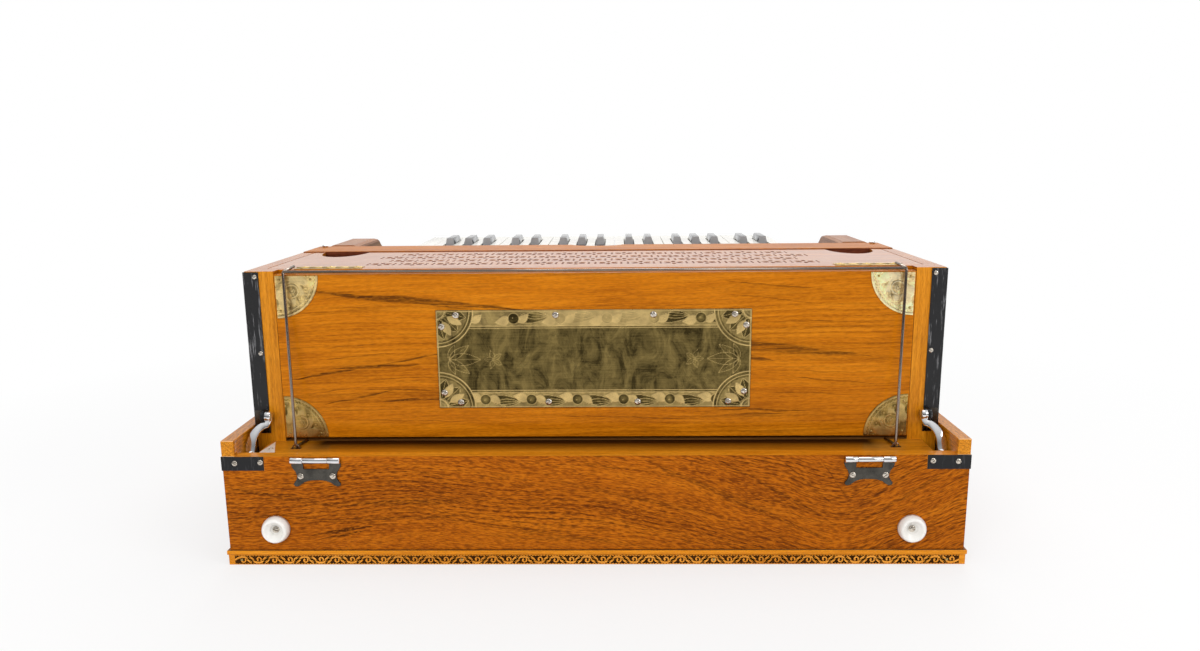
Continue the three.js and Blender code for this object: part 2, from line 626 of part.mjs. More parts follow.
function fretHoles() {
  const cellX = FRET_WIDTH / FRET_COLUMNS;
  const depth = RAIL_FRONT_Y - LID_FRONT_Y - 2 * FRET_MARGIN;
  const cellY = depth / FRET_ROWS;
  const holes = [];
  for (let row = 0; row < FRET_ROWS; row += 1) {
    const shift = row % 2 === 0 ? 0 : 1 / 2;
    for (let column = 0; column + shift < FRET_COLUMNS; column += 1) {
      const last = column + shift + 1 > FRET_COLUMNS;
      if (!last) {
        const x = -FRET_WIDTH / 2 + cellX * (column + shift + 1 / 2);
        const y = LID_FRONT_Y + FRET_MARGIN + cellY * (row + 1 / 2);
        holes.push(fretHole(x, y, (cellX - FRET_RIB) / 2, (cellY - FRET_RIB) / 2));
      }
    }
  }
  return joined(holes);
}

function lidNotch() {
  const outer = NOTCH_OUTER_X;
  const rear = RAIL_FRONT_Y + OVERRUN;
  const points = [[outer - NOTCH_LENGTH, rear], [outer - NOTCH_LENGTH, RAIL_FRONT_Y]];
  for (let i = 1; i < ARC_STEPS; i += 1) {
    const turn = (Math.PI * i) / ARC_STEPS;
    points.push([outer - (NOTCH_LENGTH * (1 + Math.cos(turn))) / 2,
      RAIL_FRONT_Y - NOTCH_DEPTH * Math.sin(turn)]);
  }
  points.push([outer, RAIL_FRONT_Y], [outer, rear]);
  return prismZ(points, LID_SEAT_Z - OVERRUN, CABINET_TOP + OVERRUN);
}

function topLid() {
  const half = INNER_X - LID_SIDE_GAP;
  const board = box(-half, half, LID_FRONT_Y + SEAT_GAP, RAIL_FRONT_Y - SEAT_GAP,
    LID_SEAT_Z, CABINET_TOP);
  return board.subtract(joined([fretHoles(), bothSides(lidNotch())]));
}

function rearRail() {
  const board = box(-CABINET_SIDE_X, CABINET_SIDE_X, RAIL_FRONT_Y, RAIL_REAR_Y,
    RAIL_SEAT_Z, RAIL_TOP_Z);
  const half = RAIL_NOTCH_WIDTH / 2;
  const points = [];
  for (let i = 0; i <= ARC_STEPS; i += 1) {
    const turn = (Math.PI * i) / ARC_STEPS;
    points.push([half * Math.cos(turn),
      RAIL_REAR_Y + SEAT_GAP - RAIL_NOTCH_DEPTH * Math.sin(turn)]);
  }
  return board.subtract(prismZ(points, RAIL_SEAT_Z - OVERRUN, RAIL_TOP_Z + OVERRUN));
}

// Bellows board with its four brass quarter-round corners fixed on. The way is 1 at the foot
// of the board and -1 at its head.
function quarterRound(z, way) {
  const x = BOARD_HALF - CORNER_INSET;
  const points = [[x, z]];
  for (let i = 0; i <= ARC_STEPS; i += 1) {
    const turn = (Math.PI * i) / (2 * ARC_STEPS);
    points.push([x - CORNER_RADIUS * Math.cos(turn), z + way * CORNER_RADIUS * Math.sin(turn)]);
  }
  return prismY(points, POST_FRONT_Y - CORNER_THICK, POST_FRONT_Y + JOIN_LAP);
}

function bellowsBoard() {
  const board = box(-BOARD_HALF, BOARD_HALF, POST_FRONT_Y, BOARD_REAR_Y,
    BOARD_BOTTOM_Z, BOARD_TOP_Z);
  const corners = quarterRound(BOARD_BOTTOM_Z + CORNER_INSET, 1)
    .add(quarterRound(BOARD_TOP_Z - CORNER_INSET, -1));
  return board.add(bothSides(corners));
}

// Bellows folds, closed: a stack of leaves, each with a ridge round its edge
function bellowsFolds() {
  const front = BOARD_REAR_Y + SEAT_GAP;
  const rear = INNER_PANEL_Y - SEAT_GAP;
  const pitch = (rear - front) / FOLD_COUNT;
  const half = BOARD_HALF - FOLD_INSET;
  const low = BOARD_BOTTOM_Z;
  const top = LID_SEAT_Z - CLEAT - FOLD_HEAD_GAP;
  const leaves = [];
  for (let i = 0; i < FOLD_COUNT; i += 1) {
    const y = front + pitch * i;
    leaves.push(foldLeaf(y, y + pitch, half, low, top));
  }
  return joined(leaves);
}

function foldLeaf(y0, y1, half, low, top) {
  const middle = (y0 + y1) / 2;
  const across = [
    [-half + FOLD_RIDGE, y0], [half - FOLD_RIDGE, y0], [half, middle],
    [half - FOLD_RIDGE, y1], [-half + FOLD_RIDGE, y1], [-half, middle],
  ];
  const upright = [
    [y0, low + FOLD_RIDGE], [middle, low], [y1, low + FOLD_RIDGE],
    [y1, top - FOLD_RIDGE], [middle, top], [y0, top - FOLD_RIDGE],
  ];
  return prismZ(across, low, top).intersect(prismX(upright, -half, half));
}

// Brass plate with round-head screws
function screwPlaces() {
  const x = PLATE_WIDTH / 2 - SCREW_INSET;
  const z = PLATE_HEIGHT / 2 - SCREW_INSET;
  const rowShares = [-1, -1 / 3, 1 / 3, 1];
  const sideShares = [-1 / 2, 1 / 2];
  const rows = rowShares.flatMap((share) => [[x * share, z], [x * share, -z]]);
  const sides = sideShares.flatMap((share) => [[-x, z * share], [x, z * share]]);
  return [...rows, ...sides];
}

function brassPlate() {
  const middle = (BOARD_BOTTOM_Z + BOARD_TOP_Z) / 2 - PLATE_DROP;
  const face = POST_FRONT_Y - PLATE_THICK;
  const plate = box(-PLATE_WIDTH / 2, PLATE_WIDTH / 2, face, POST_FRONT_Y,
    middle - PLATE_HEIGHT / 2, middle + PLATE_HEIGHT / 2);
  const head = [
    [0, -SCREW_HEIGHT], [SCREW_RADIUS / 2, -SCREW_HEIGHT], [SCREW_RADIUS, -SCREW_EDGE],
    [SCREW_RADIUS, JOIN_LAP], [0, JOIN_LAP],
  ];
  const heads = screwPlaces().map(([x, z]) => turnedY(head, x, face, middle + z, SMALL_SIDES));
  return plate.add(joined(heads));
}

// Wire bail: feet on the ledge, uprights, a top bar and two short hooks over the top
function wireBail() {
  const sides = SMALL_SIDES;
  const footZ = LEDGE_TOP + SEAT_GAP + WIRE_RADIUS;
  const footY = POST_FRONT_Y - BAIL_FOOT_OUT;
  const headY = POST_FRONT_Y - BAIL_HEAD_OUT;
  const headZ = CABINET_TOP;
  const x = BOARD_HALF - BAIL_INSET;
  const side = [
    [x - BAIL_HOOK_IN, footY + BAIL_FOOT_LENGTH, footZ],
    [x, footY, footZ],
    [x, headY, headZ],
    [x - BAIL_HOOK_IN, headY + BAIL_HOOK_LENGTH, headZ + BAIL_HOOK_RISE],
  ];
  const runs = side.slice(1).map((point, i) => rod(side[i], point, WIRE_RADIUS, sides));
  const bends = side.slice(1, -1).map((point) => solid(
    new THREE.SphereGeometry(WIRE_RADIUS, sides, sides / 2).translate(...point)));
  const bar = rodX(-x, x, headY, headZ, WIRE_RADIUS, sides);
  return joined([bothSides(joined([...runs, ...bends])), bar]);
}

// Keyboard. Places along it run from the lowest note, at the player's left, on the +X side.
const SHARP_AFTER = [true, true, false, true, true, true, false];
const OCTAVE_WHITES = SHARP_AFTER.length;
const LOW_GROUP = SHARP_AFTER.indexOf(false) + 1;
const HIGH_GROUP = OCTAVE_WHITES - LOW_GROUP;

// The black keys of each group are spread so that the white tails between them are alike
function blackCentre(white) {
  const degree = white % OCTAVE_WHITES;
  const upper = degree >= LOW_GROUP;
  const whites = upper ? HIGH_GROUP : LOW_GROUP;
  const order = upper ? degree - LOW_GROUP : degree;
  const start = (white - order) * KEY_PITCH;
  const tail = (whites * KEY_PITCH - (whites - 1) * BLACK_WIDTH) / whites;
  return start + tail * (order + 1) + BLACK_WIDTH * (order + 1 / 2);
}

function hasSharpAfter(white) {
  return white >= 0 && white + 1 < WHITE_COUNT && SHARP_AFTER[white % OCTAVE_WHITES];
}

function keyX(along) {
  return KEYBOARD_HALF - along;
}

// The wooden lever under a key, from the pallet end to a little in front of the fulcrum
function keyLever(centre) {
  const low = centre - LEVER_WIDTH / 2;
  const high = centre + LEVER_WIDTH / 2;
  const front = FULCRUM_Y + LEVER_NOSE;
  const bar = box(low, high, LEVER_REAR_Y, front, LEVER_BOTTOM_Z, LEVER_TOP_Z);
  return bar.add(box(low, high, KEY_REAR_Y, front, LEVER_TOP_Z - JOIN_LAP,
    WHITE_BOTTOM_Z + JOIN_LAP));
}

function whiteKey(white) {
  const low = white * KEY_PITCH + KEY_GAP / 2;
  const high = (white + 1) * KEY_PITCH - KEY_GAP / 2;
  const room = BLACK_WIDTH / 2 + KEY_GAP;
  const tailLow = hasSharpAfter(white - 1) ? blackCentre(white - 1) + room : low;
  const tailHigh = hasSharpAfter(white) ? blackCentre(white) - room : high;
  const outline = [
    [keyX(tailHigh), KEY_REAR_Y], [keyX(tailLow), KEY_REAR_Y],
    [keyX(tailLow), HEAD_REAR_Y], [keyX(low), HEAD_REAR_Y],
    [keyX(low), KEY_FRONT_Y], [keyX(high), KEY_FRONT_Y],
    [keyX(high), HEAD_REAR_Y], [keyX(tailHigh), HEAD_REAR_Y],
  ];
  const distinct = outline.filter((point, i) => {
    const next = outline[(i + 1) % outline.length];
    return point[0] !== next[0] || point[1] !== next[1];
  });
  const top = prismZ(distinct, WHITE_BOTTOM_Z, WHITE_TOP_Z);
  return top.add(keyLever((keyX(tailLow) + keyX(tailHigh)) / 2));
}

function blackKey(white) {
  const x = keyX(blackCentre(white));
  const half = BLACK_WIDTH / 2;
  const crown = BLACK_CROWN / 2;
  const across = [
    [x - half, WHITE_BOTTOM_Z], [x + half, WHITE_BOTTOM_Z], [x + half, WHITE_TOP_Z],
    [x + crown, BLACK_TOP_Z], [x - crown, BLACK_TOP_Z], [x - half, WHITE_TOP_Z],
  ];
  const tailTop = WHITE_TOP_Z - BLACK_TAIL_DROP;
  const along = [
    [KEY_REAR_Y, WHITE_BOTTOM_Z - OVERRUN], [BLACK_FRONT_Y, WHITE_BOTTOM_Z - OVERRUN],
    [BLACK_FRONT_Y, WHITE_TOP_Z], [BLACK_FRONT_Y - BLACK_SLOPE, BLACK_TOP_Z],
    [BLACK_REAR_Y, BLACK_TOP_Z], [BLACK_REAR_Y, tailTop], [KEY_REAR_Y, tailTop],
  ];
  const body = prismY(across, KEY_REAR_Y, BLACK_FRONT_Y)
    .intersect(prismX(along, x - half - OVERRUN, x + half + OVERRUN));
  return body.add(keyLever(x));
}

function keyCarriage() {
  const half = KEYBOARD_HALF + CARRIAGE_MARGIN;
  const rear = LEVER_REAR_Y + CARRIAGE_REAR_GAP;
  const board = box(-half, half, rear, KEY_FRONT_Y, CARRIAGE_BOTTOM_Z, CARRIAGE_TOP_Z);
  const ridge = prismX([
    [FULCRUM_Y - RIDGE_FOOT / 2, CARRIAGE_TOP_Z - JOIN_LAP],
    [FULCRUM_Y + RIDGE_FOOT / 2, CARRIAGE_TOP_Z - JOIN_LAP],
    [FULCRUM_Y + RIDGE_TOP / 2, RIDGE_TOP_Z], [FULCRUM_Y - RIDGE_TOP / 2, RIDGE_TOP_Z],
  ], -half, half);
  const stopFront = KEY_FRONT_Y - STOP_RAIL_SETBACK + STOP_RAIL_WIDTH;
  const stopRail = box(-half, half, stopFront - STOP_RAIL_WIDTH, stopFront,
    CARRIAGE_TOP_Z - JOIN_LAP, CARRIAGE_TOP_Z + STOP_RAIL_HEIGHT);
  const gripZ = (CARRIAGE_BOTTOM_Z + CARRIAGE_TOP_Z) / 2;
  const grip = box(-GRIP_WIDTH / 2, GRIP_WIDTH / 2, KEY_FRONT_Y - JOIN_LAP,
    KEY_FRONT_Y + KEY_FRONT_GAP + GRIP_OUT, gripZ - GRIP_THICK / 2, gripZ + GRIP_THICK / 2);
  return joined([board, ridge, stopRail, grip]);
}

// Stop knob on its stem, drawn out towards the player
function stopKnob(x) {
  const base = CABINET_REAR_Y + STOP_STANDOFF;
  const profile = [
    [0, 0],
    [STOP_KNOB_RADIUS * STOP_NECK_SHARE, 0],
    [STOP_KNOB_RADIUS, STOP_KNOB_LENGTH * STOP_FLARE_SHARE],
    [STOP_KNOB_RADIUS, STOP_KNOB_LENGTH * STOP_FACE_SHARE],
    [STOP_KNOB_RADIUS * STOP_FACE_SHARE, STOP_KNOB_LENGTH],
    [0, STOP_KNOB_LENGTH],
  ];
  const z = LEDGE_TOP + STOP_RISE;
  const stem = rodY(base - STOP_STEM_LENGTH, base + JOIN_LAP, x, z, STOP_STEM_RADIUS);
  return turnedY(profile, x, base, z).add(stem);
}

// Assembly
const harmonium = new THREE.Group();
harmonium.name = 'indian_harmonium';

function place(name, body, look) {
  const mesh = new THREE.Mesh(geometryOf(body), MATERIALS[look]);
  mesh.name = name;
  harmonium.add(mesh);
}

place('case_tray', caseTray(), 'veneer');
place('base_plinth', basePlinth(), 'wood');
place('lid_hinge_left', lidHinge(HINGE_IN_LEFT - TRAY_SIDE_X), 'chrome');
place('lid_hinge_right', lidHinge(TRAY_SIDE_X - HINGE_IN_RIGHT), 'chrome');
place('buffer_left', buffer(BUFFER_IN_LEFT - TRAY_SIDE_X), 'white');
place('buffer_right', buffer(TRAY_SIDE_X - BUFFER_IN_RIGHT), 'white');
place('arm_front_right', frontArm(), 'chrome');
place('arm_front_left', mirrored(frontArm()), 'chrome');
place('arm_rear_right', rearArm(), 'chrome');
place('arm_rear_left', mirrored(rearArm()), 'chrome');
place('cabinet_case', cabinetCase(), 'wood');
place('corner_angle_right', cornerAngle(), 'black');
place('corner_angle_left', mirrored(cornerAngle()), 'black');
place('top_lid', topLid(), 'wood');
place('rear_rail', rearRail(), 'wood');
place('bellows_board', bellowsBoard(), 'wood');
place('bellows_folds', bellowsFolds(), 'cloth');
place('brass_plate', brassPlate(), 'brass');
place('wire_bail', wireBail(), 'chrome');
place('key_carriage', keyCarriage(), 'wood');

const WHITE_NAMES = ['c', 'd', 'e', 'f', 'g', 'a', 'b'];
for (let white = 0; white < WHITE_COUNT; white += 1) {
  const octave = Math.floor(white / OCTAVE_WHITES) + 1;
  const note = WHITE_NAMES[white % OCTAVE_WHITES];
  place(`key_${note}_${octave}`, whiteKey(white), 'ivory');
  if (hasSharpAfter(white)) {
    place(`key_${note}_sharp_${octave}`, blackKey(white), 'black');
  }
}

const STOP_NAMES = ['left', 'centre', 'right'];
stopPlaces().forEach((x, i) => place(`stop_knob_${STOP_NAMES[i]}`, stopKnob(x), 'black'));

harmonium.children.forEach((mesh) => mesh.geometry.translate(0, -MIDDLE_Y, 0));

export default harmonium;
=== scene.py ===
"""Looks of the folding harmonium: varnished boards, brass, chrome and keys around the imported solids."""
import json
from math import cos, dist, pi, radians, sin
import bmesh
import bpy
import numpy as np
from mathutils import Matrix, Vector


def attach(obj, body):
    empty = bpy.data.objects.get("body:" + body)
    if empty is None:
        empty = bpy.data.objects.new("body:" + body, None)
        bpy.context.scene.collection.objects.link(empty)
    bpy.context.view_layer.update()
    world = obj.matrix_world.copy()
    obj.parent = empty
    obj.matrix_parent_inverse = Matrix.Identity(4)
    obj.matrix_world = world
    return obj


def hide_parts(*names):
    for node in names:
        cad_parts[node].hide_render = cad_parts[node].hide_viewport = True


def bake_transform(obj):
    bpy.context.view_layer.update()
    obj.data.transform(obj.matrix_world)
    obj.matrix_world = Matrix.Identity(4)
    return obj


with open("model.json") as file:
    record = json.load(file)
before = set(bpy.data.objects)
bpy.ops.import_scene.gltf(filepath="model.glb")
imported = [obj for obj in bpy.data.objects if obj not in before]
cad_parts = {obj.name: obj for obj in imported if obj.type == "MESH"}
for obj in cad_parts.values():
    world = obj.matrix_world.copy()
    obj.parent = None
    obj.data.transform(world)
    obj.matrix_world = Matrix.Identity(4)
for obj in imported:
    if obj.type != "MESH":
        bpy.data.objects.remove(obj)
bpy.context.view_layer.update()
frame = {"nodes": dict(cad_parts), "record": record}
NODES = frame["nodes"]
BODY = {n: b for b, ns in frame["record"]["behaviour"]["bodies"].items() for n in ns}
SIDES = (("left", -1), ("right", 1))

# Sizes in mm: x from the middle, y from the tray's front face, z from the floor
MIDDLE = 218.7312412026881
TRAY_DEPTH = 442.9625
INSIDE = 333
RIM = 107.2
LEDGE_TOP = 105.6
BOARD_FRONT, BOARD_BACK = 50, 62
BOARD_HALF, BOARD_LOW, BOARD_HIGH = 302.85, 109.0, 270.0
LID_AXIS_Y, LID_AXIS_Z = 72.3, 273.2
CHEEK_EDGE = 269.0
FRONT, BACK, UP = (0, -1, 0), (0, 1, 0), (0, 0, 1)
CAMERA_PLACE = (20.68, -774.8, 380.6)
# Pitch, yaw and roll in degrees
CAMERA_TURN = (11.06, -1.004, -0.503)
LENS, SENSOR = 26.5, 36
# The floor's radius in metres, and the world's strength as light, in shine and to the camera
FLOOR = 12
WHITE, PAPER = (1, 1, 1), (0.85, 0.85, 0.85)
WORLD_LIGHT, WORLD_SHINE, WORLD_WHITE = 0.42, 0.10, 1.0


def at(x, y, z):
    """A point given in mm, with y measured from the tray's front face."""
    return Vector((x, y - MIDDLE, z)) / 1000


def linked(name, data):
    """A new object in the scene."""
    o = bpy.data.objects.new(name, data)
    bpy.context.scene.collection.objects.link(o)
    return o


# Camera, floor and light
def camera():
    pitch, yaw, roll = (radians(a) for a in CAMERA_TURN)
    ahead = Vector((sin(yaw) * cos(pitch), cos(yaw) * cos(pitch), -sin(pitch)))
    right = Vector((cos(yaw), -sin(yaw), 0))
    up = right.cross(ahead)
    axes = (right * cos(roll) + up * sin(roll), up * cos(roll) - right * sin(roll), -ahead)
    data = bpy.data.cameras.new("camera")
    data.sensor_width = SENSOR
    data.lens = LENS
    cam = linked("camera", data)
    cam.matrix_world = Matrix.Translation(at(*CAMERA_PLACE)) @ Matrix(axes).transposed().to_4x4()
    bpy.context.scene.camera = cam


def lamp(name, place, aim, size, power, shines=True):
    """An area lamp that points at aim. Lengths are in metres, power in watts."""
    data = bpy.data.lights.new(name, "AREA")
    data.shape = "RECTANGLE"
    data.size, data.size_y = size
    data.energy = power
    o = linked(name, data)
    o.location = place
    o.visible_glossy = shines
    o.rotation_euler = (Vector(aim) - Vector(place)).to_track_quat("-Z", "Y").to_euler()


class Value:
    """What a shader node gives, ready for sums."""

    def __init__(self, nodes, socket):
        self.nodes, self.socket = nodes, socket

    def __rsub__(self, other):
        return self.nodes.math("SUBTRACT", other, self)

    def line(self, slope, start, clamp=False):
        return self.nodes.math("MULTIPLY_ADD", self, slope, start, clamp=clamp)

    def share(self, slope, start):
        """A line that is held between 0 and 1."""
        return self.line(slope, start, True)

    def rise(self, low, high, first=0, last=1):
        """Goes from first at low to last at high."""
        return self.ramp([(low, first), (high, last)])

    def ramp(self, stops, curve="LINEAR"):
        node = self.nodes.add("ValToRGB", self)
        node.color_ramp.interpolation = curve
        elements = node.color_ramp.elements
        while len(elements) < len(stops):
            elements.new(0.5)
        for e, (place, colour) in zip(elements, stops):
            e.position = place
            e.color = (colour,) * 3 + (1,) if isinstance(colour, (int, float)) else (*colour, 1)
        return self.nodes.out(node)


for method, op in (("add", "ADD"), ("sub", "SUBTRACT"), ("mul", "MULTIPLY"), ("truediv", "DIVIDE")):
    setattr(Value, f"__{method}__", lambda a, b, op=op: a.nodes.math(op, a, b))


class Nodes:
    """Short ways to add shader nodes to what owns them."""

    def __init__(self, owner):
        owner.use_nodes = True
        self.tree = owner.node_tree
        self.tree.nodes.clear()

    def add(self, kind, *inputs, **settings):
        """A new node with its settings and its first inputs."""
        node = self.tree.nodes.new("ShaderNode" + kind)
        for k, v in settings.items():
            setattr(node, k, v)
        for socket, v in zip(node.inputs, inputs):
            self.put(socket, v)
        return node

    def fill(self, node, **inputs):
        for k, v in inputs.items():
            self.put(node.inputs[k.replace("_", " ")], v)
        return node

    def out(self, node, output=0):
        return Value(self, node.outputs[output])

    def put(self, socket, value):
        if isinstance(value, Value):
            value = value.socket
        if isinstance(value, bpy.types.NodeSocket):
            self.tree.links.new(value, socket)
        elif value is not None:
            if socket.type == "RGBA":
                value = (*value, 1)
            socket.default_value = value

    def math(self, op, *values, clamp=False):
        return self.out(self.add("Math", *values, operation=op, use_clamp=clamp))

    def vector(self, op, *values):
        node = self.add("VectorMath", *values, operation=op)
        return self.out(node, "Value" if op in ("DOT_PRODUCT", "LENGTH") else 0)

    def noise(self, place, scale, detail=2.0, rough=0.5, distortion=0.0, output="Fac"):
        node = self.add("TexNoise")
        self.fill(node, Vector=place, Scale=scale, Detail=detail, Roughness=rough, Distortion=distortion)
        return self.out(node, output)

    def mapping(self, place, scale=(1, 1, 1), turn=(0, 0, 0), move=(0, 0, 0)):
        node = self.add("Mapping")
        return self.out(self.fill(node, Vector=place, Scale=scale, Rotation=turn, Location=move))

    def parts(self, vector):
        return [Value(self, o) for o in self.add("SeparateXYZ", vector).outputs]

    def mix(self, share, a, b):
        node = self.add("Mix", share, data_type="RGBA")
        self.put(node.inputs[6], a)
        self.put(node.inputs[7], b)
        return self.out(node, 2)

    def blend(self, share, a, b):
        return self.out(self.add("MixShader", share, a, b))

    def coords(self):
        return self.out(self.add("TexCoord"), "Object")


def stage_and_light():
    """A floor and a world that are white to the camera, and four lamps."""
    scene = bpy.context.scene
    scene.view_settings.view_transform = "Standard"
    world = bpy.data.worlds.new("studio")
    scene.world = world
    n = Nodes(world)
    ray = n.add("LightPath").outputs
    _, ahead, up = n.parts(n.out(n.add("TexCoord"), "Generated"))
    bright = n.math("MAXIMUM", ahead.share(1.6, 0.42), up.share(1.2, -0.25))
    glossy = n.math("MULTIPLY", ray["Is Glossy Ray"], bright)
    seen = n.math("MAXIMUM", ray["Is Camera Ray"], ray["Is Transmission Ray"])
    levels = (WORLD_LIGHT, WORLD_SHINE, WORLD_WHITE)
    soft, dark, white = (n.out(n.add("Background", WHITE, level)) for level in levels)
    plain = n.blend(ray["Is Glossy Ray"], soft, dark)
    n.add("OutputWorld", n.blend(n.math("MAXIMUM", seen, glossy), plain, white))

    mesh = bpy.data.meshes.new("floor")
    rim = [(FLOOR * cos(i * pi / 32), FLOOR * sin(i * pi / 32), 0) for i in range(64)]
    mesh.from_pydata(rim, [], [tuple(range(64))])
    linked("floor", mesh)
    paper = bpy.data.materials.new("floor_paper")
    mesh.materials.append(paper)
    n = Nodes(paper)
    ray = n.add("LightPath").outputs
    seen = n.math("MAXIMUM", ray["Is Glossy Ray"], ray["Is Transmission Ray"])
    seen = n.math("MAXIMUM", ray["Is Camera Ray"], seen)
    far = n.vector("LENGTH", n.coords()).share(0.55, 0.42)
    diffuse = n.out(n.add("BsdfDiffuse", PAPER))
    glow = n.out(n.add("Emission", WHITE, WORLD_WHITE))
    n.add("OutputMaterial", n.blend(seen * far, diffuse, glow))

    lamp("lamp_front", (-0.5, -2.2, 1.15), (0, 0, 0.14), (2.2, 1.0), 36, False)
    lamp("lamp_right", (1.9, -1.3, 1.2), (0, 0, 0.12), (1.4, 1.0), 16)
    lamp("lamp_back", (0.3, 1.9, 1.9), (0, 0, 0.2), (2.2, 1.0), 26)
    lamp("lamp_top", (0, 0.1, 2.4), (0, 0, 0), (2.0, 1.6), 13)


# Looks, each kept under its name together with its material slot
MATERIAL, SLOT = {}, {}
# The direction across each grain, and the half length in metres of the painted shadow on the ledge
ACROSS = {"X": (0, 0.8, 1), "Y": (0.8, 0, 1), "Z": (1, 0.8, 0)}
SHADOW_HALF = 0.288


class Look(Nodes):
    """A new material. The other values are the shader's fixed inputs."""

    def __init__(self, name, slot, **fixed):
        self.material = bpy.data.materials.new(name + "_look")
        super().__init__(self.material)
        self.shader = self.fill(self.add("BsdfPrincipled"), **fixed)
        self.add("OutputMaterial", self.shader.outputs[0])
        MATERIAL[name], SLOT[name] = self.material, slot

    def dress(self, colour, rough, height, strength, distance=0.0002):
        bump = self.fill(self.add("Bump"), Height=height, Strength=strength, Distance=distance)
        self.fill(self.shader, Base_Color=colour, Roughness=rough, Normal=self.out(bump))


def times(colour, share):
    return tuple(c * share for c in colour)


def along(axis, share):
    """Scales that draw a pattern out along one axis."""
    return tuple(share if a == axis else 1 for a in "XYZ")


def stroke(m, x, z, x0, z0, x1, z1, thick, strength):
    """One dark grain line in a front face, from x0, z0 to x1, z1 in mm, thickest half way."""
    t = x.share(1000 / (x1 - x0), -x0 / (x1 - x0))
    off = m.math("ABSOLUTE", z - t.line((z1 - z0) / 1000, z0 / 1000))
    taper = t * (1 - t) * (thick / 500)
    return (off / m.math("MAXIMUM", taper, 1e-5)).share(-1.8, 1.8) * strength


def wood(name, dark, mid, light, axis="X", spacing=7.0, sway=3.0, lines=0.35, streaks=0.3, pores=0.35,
         coat=0.25, gloss=0.1, rough=0.36, turn=0.0, seed=0.0, bend=None, strokes=(), painted_shadow=None, slot="wood"):
    """Varnished wood with swaying growth lines, long dark streaks, fibres and pores. Lengths are in mm.

    painted_shadow gives the two depths between which a painted shadow darkens a ledge towards the bellows
    board.
    """
    m = Look(name, slot, Coat_Weight=coat, Coat_Roughness=0.06, Coat_IOR=1.32, Specular_IOR_Level=gloss)
    place = m.coords()
    x, y, z = m.parts(place)
    co = m.mapping(place, turn=(0, turn, 0), move=(seed, seed * 0.7, seed * 1.3))
    if bend:
        rise = x.line(1 / 0.7, 0.5).ramp(bend, "B_SPLINE")
        co = m.vector("ADD", co, m.out(m.add("CombineXYZ", None, None, rise.line(-0.1, 0.1))))
    cloud = m.noise(m.mapping(co, along(axis, 0.4)), 13, output="Color")
    drift = m.vector("SUBTRACT", cloud, (0.5, 0.5, 0.5))
    co = m.vector("ADD", co, m.vector("MULTIPLY", drift, [0 if a == axis else sway * 0.004 for a in "XYZ"]))
    long = m.mapping(co, along(axis, 0.07))
    fine = m.mapping(co, along(axis, 0.02))
    depth = m.vector("DOT_PRODUCT", co, ACROSS[axis]) * (1000 / spacing)
    wave = m.math("FRACT", m.noise(long, 16, 3, 0.6).line(3.5, depth))
    growth = wave.ramp([(0.0, 0.0), (0.45, 0.12), (0.88, 1.0), (1.0, 0.0)])
    growth = growth * m.noise(long, 22, 2).rise(0.40, 0.62, 0.1)
    fibres = m.noise(fine, 620, 3, 0.65)
    tone = m.noise(long, 80, 4, 0.6, 0.3) * 0.42 + fibres * 0.4 + m.noise(co, 7.0, 2) * 0.18
    colour = tone.ramp([(0.38, dark), (0.5, mid), (0.62, light)])
    deep = times(dark, 0.42)
    colour = m.mix(growth * lines, colour, deep)
    veins = m.noise(fine, 150, 4, 0.7, 0.15).rise(0.56, 0.66)
    where = m.noise(m.mapping(co, along(axis, 0.4)), 14, 2).rise(0.48, 0.62)
    colour = m.mix(veins * where * streaks, colour, deep)
    if strokes:
        z = (m.noise(m.mapping(place, (0.5, 1, 1)), 60, 2) - 0.5).line(0.0045, z)
        marks = 0.0
        for mark in strokes:
            marks = m.math("MAXIMUM", marks, stroke(m, x, z, *mark))
        marks = marks * m.noise(fine, 700, 3, 0.7).rise(0.36, 0.54, 0.35)
        colour = m.mix(marks, colour, times(dark, 0.14))
    grain = m.noise(m.mapping(co, along(axis, 0.16)), 1050, 1)
    short = grain.rise(0.54, 0.60) * growth.line(0.5, 0.5)
    colour = m.mix(grain.rise(0.40, 0.46, 1, 0) * (pores * 0.5), colour, times(light, 1.3))
    colour = m.mix(short * pores, colour, times(dark, 0.3))
    # Painted shadow: the ledge goes near black towards the bellows board, where the board's shade falls, and
    # fades out at both ends
    if painted_shadow:
        start, end = painted_shadow
        near = y.share(1000 / (end - start), (MIDDLE - start) / (end - start))
        ends = m.math("ABSOLUTE", x).share(-40, 40 * SHADOW_HALF)
        colour = m.mix(m.math("POWER", near, 0.7) * ends * 0.97, colour, (0.010, 0.002, 0.0005))
    m.dress(colour, m.noise(co, 30, 3).line(0.16, rough - 0.08), fibres * 0.5 - short * 0.5, 0.2)


def metal(name, colour, dull, rough=0.16, smudge=0.12, scale=60.0, dent=0.02, slot="chrome"):
    m = Look(name, slot, Metallic=1.0)
    co = m.coords()
    colour = m.mix(m.noise(co, scale, 4, 0.6).rise(0.35, 0.75), colour, dull)
    blur = m.noise(co, scale * 2.5, 3).share(smudge * 2, rough - smudge * 0.6)
    m.dress(colour, blur, m.noise(co, scale * 5, 2), dent * 6)


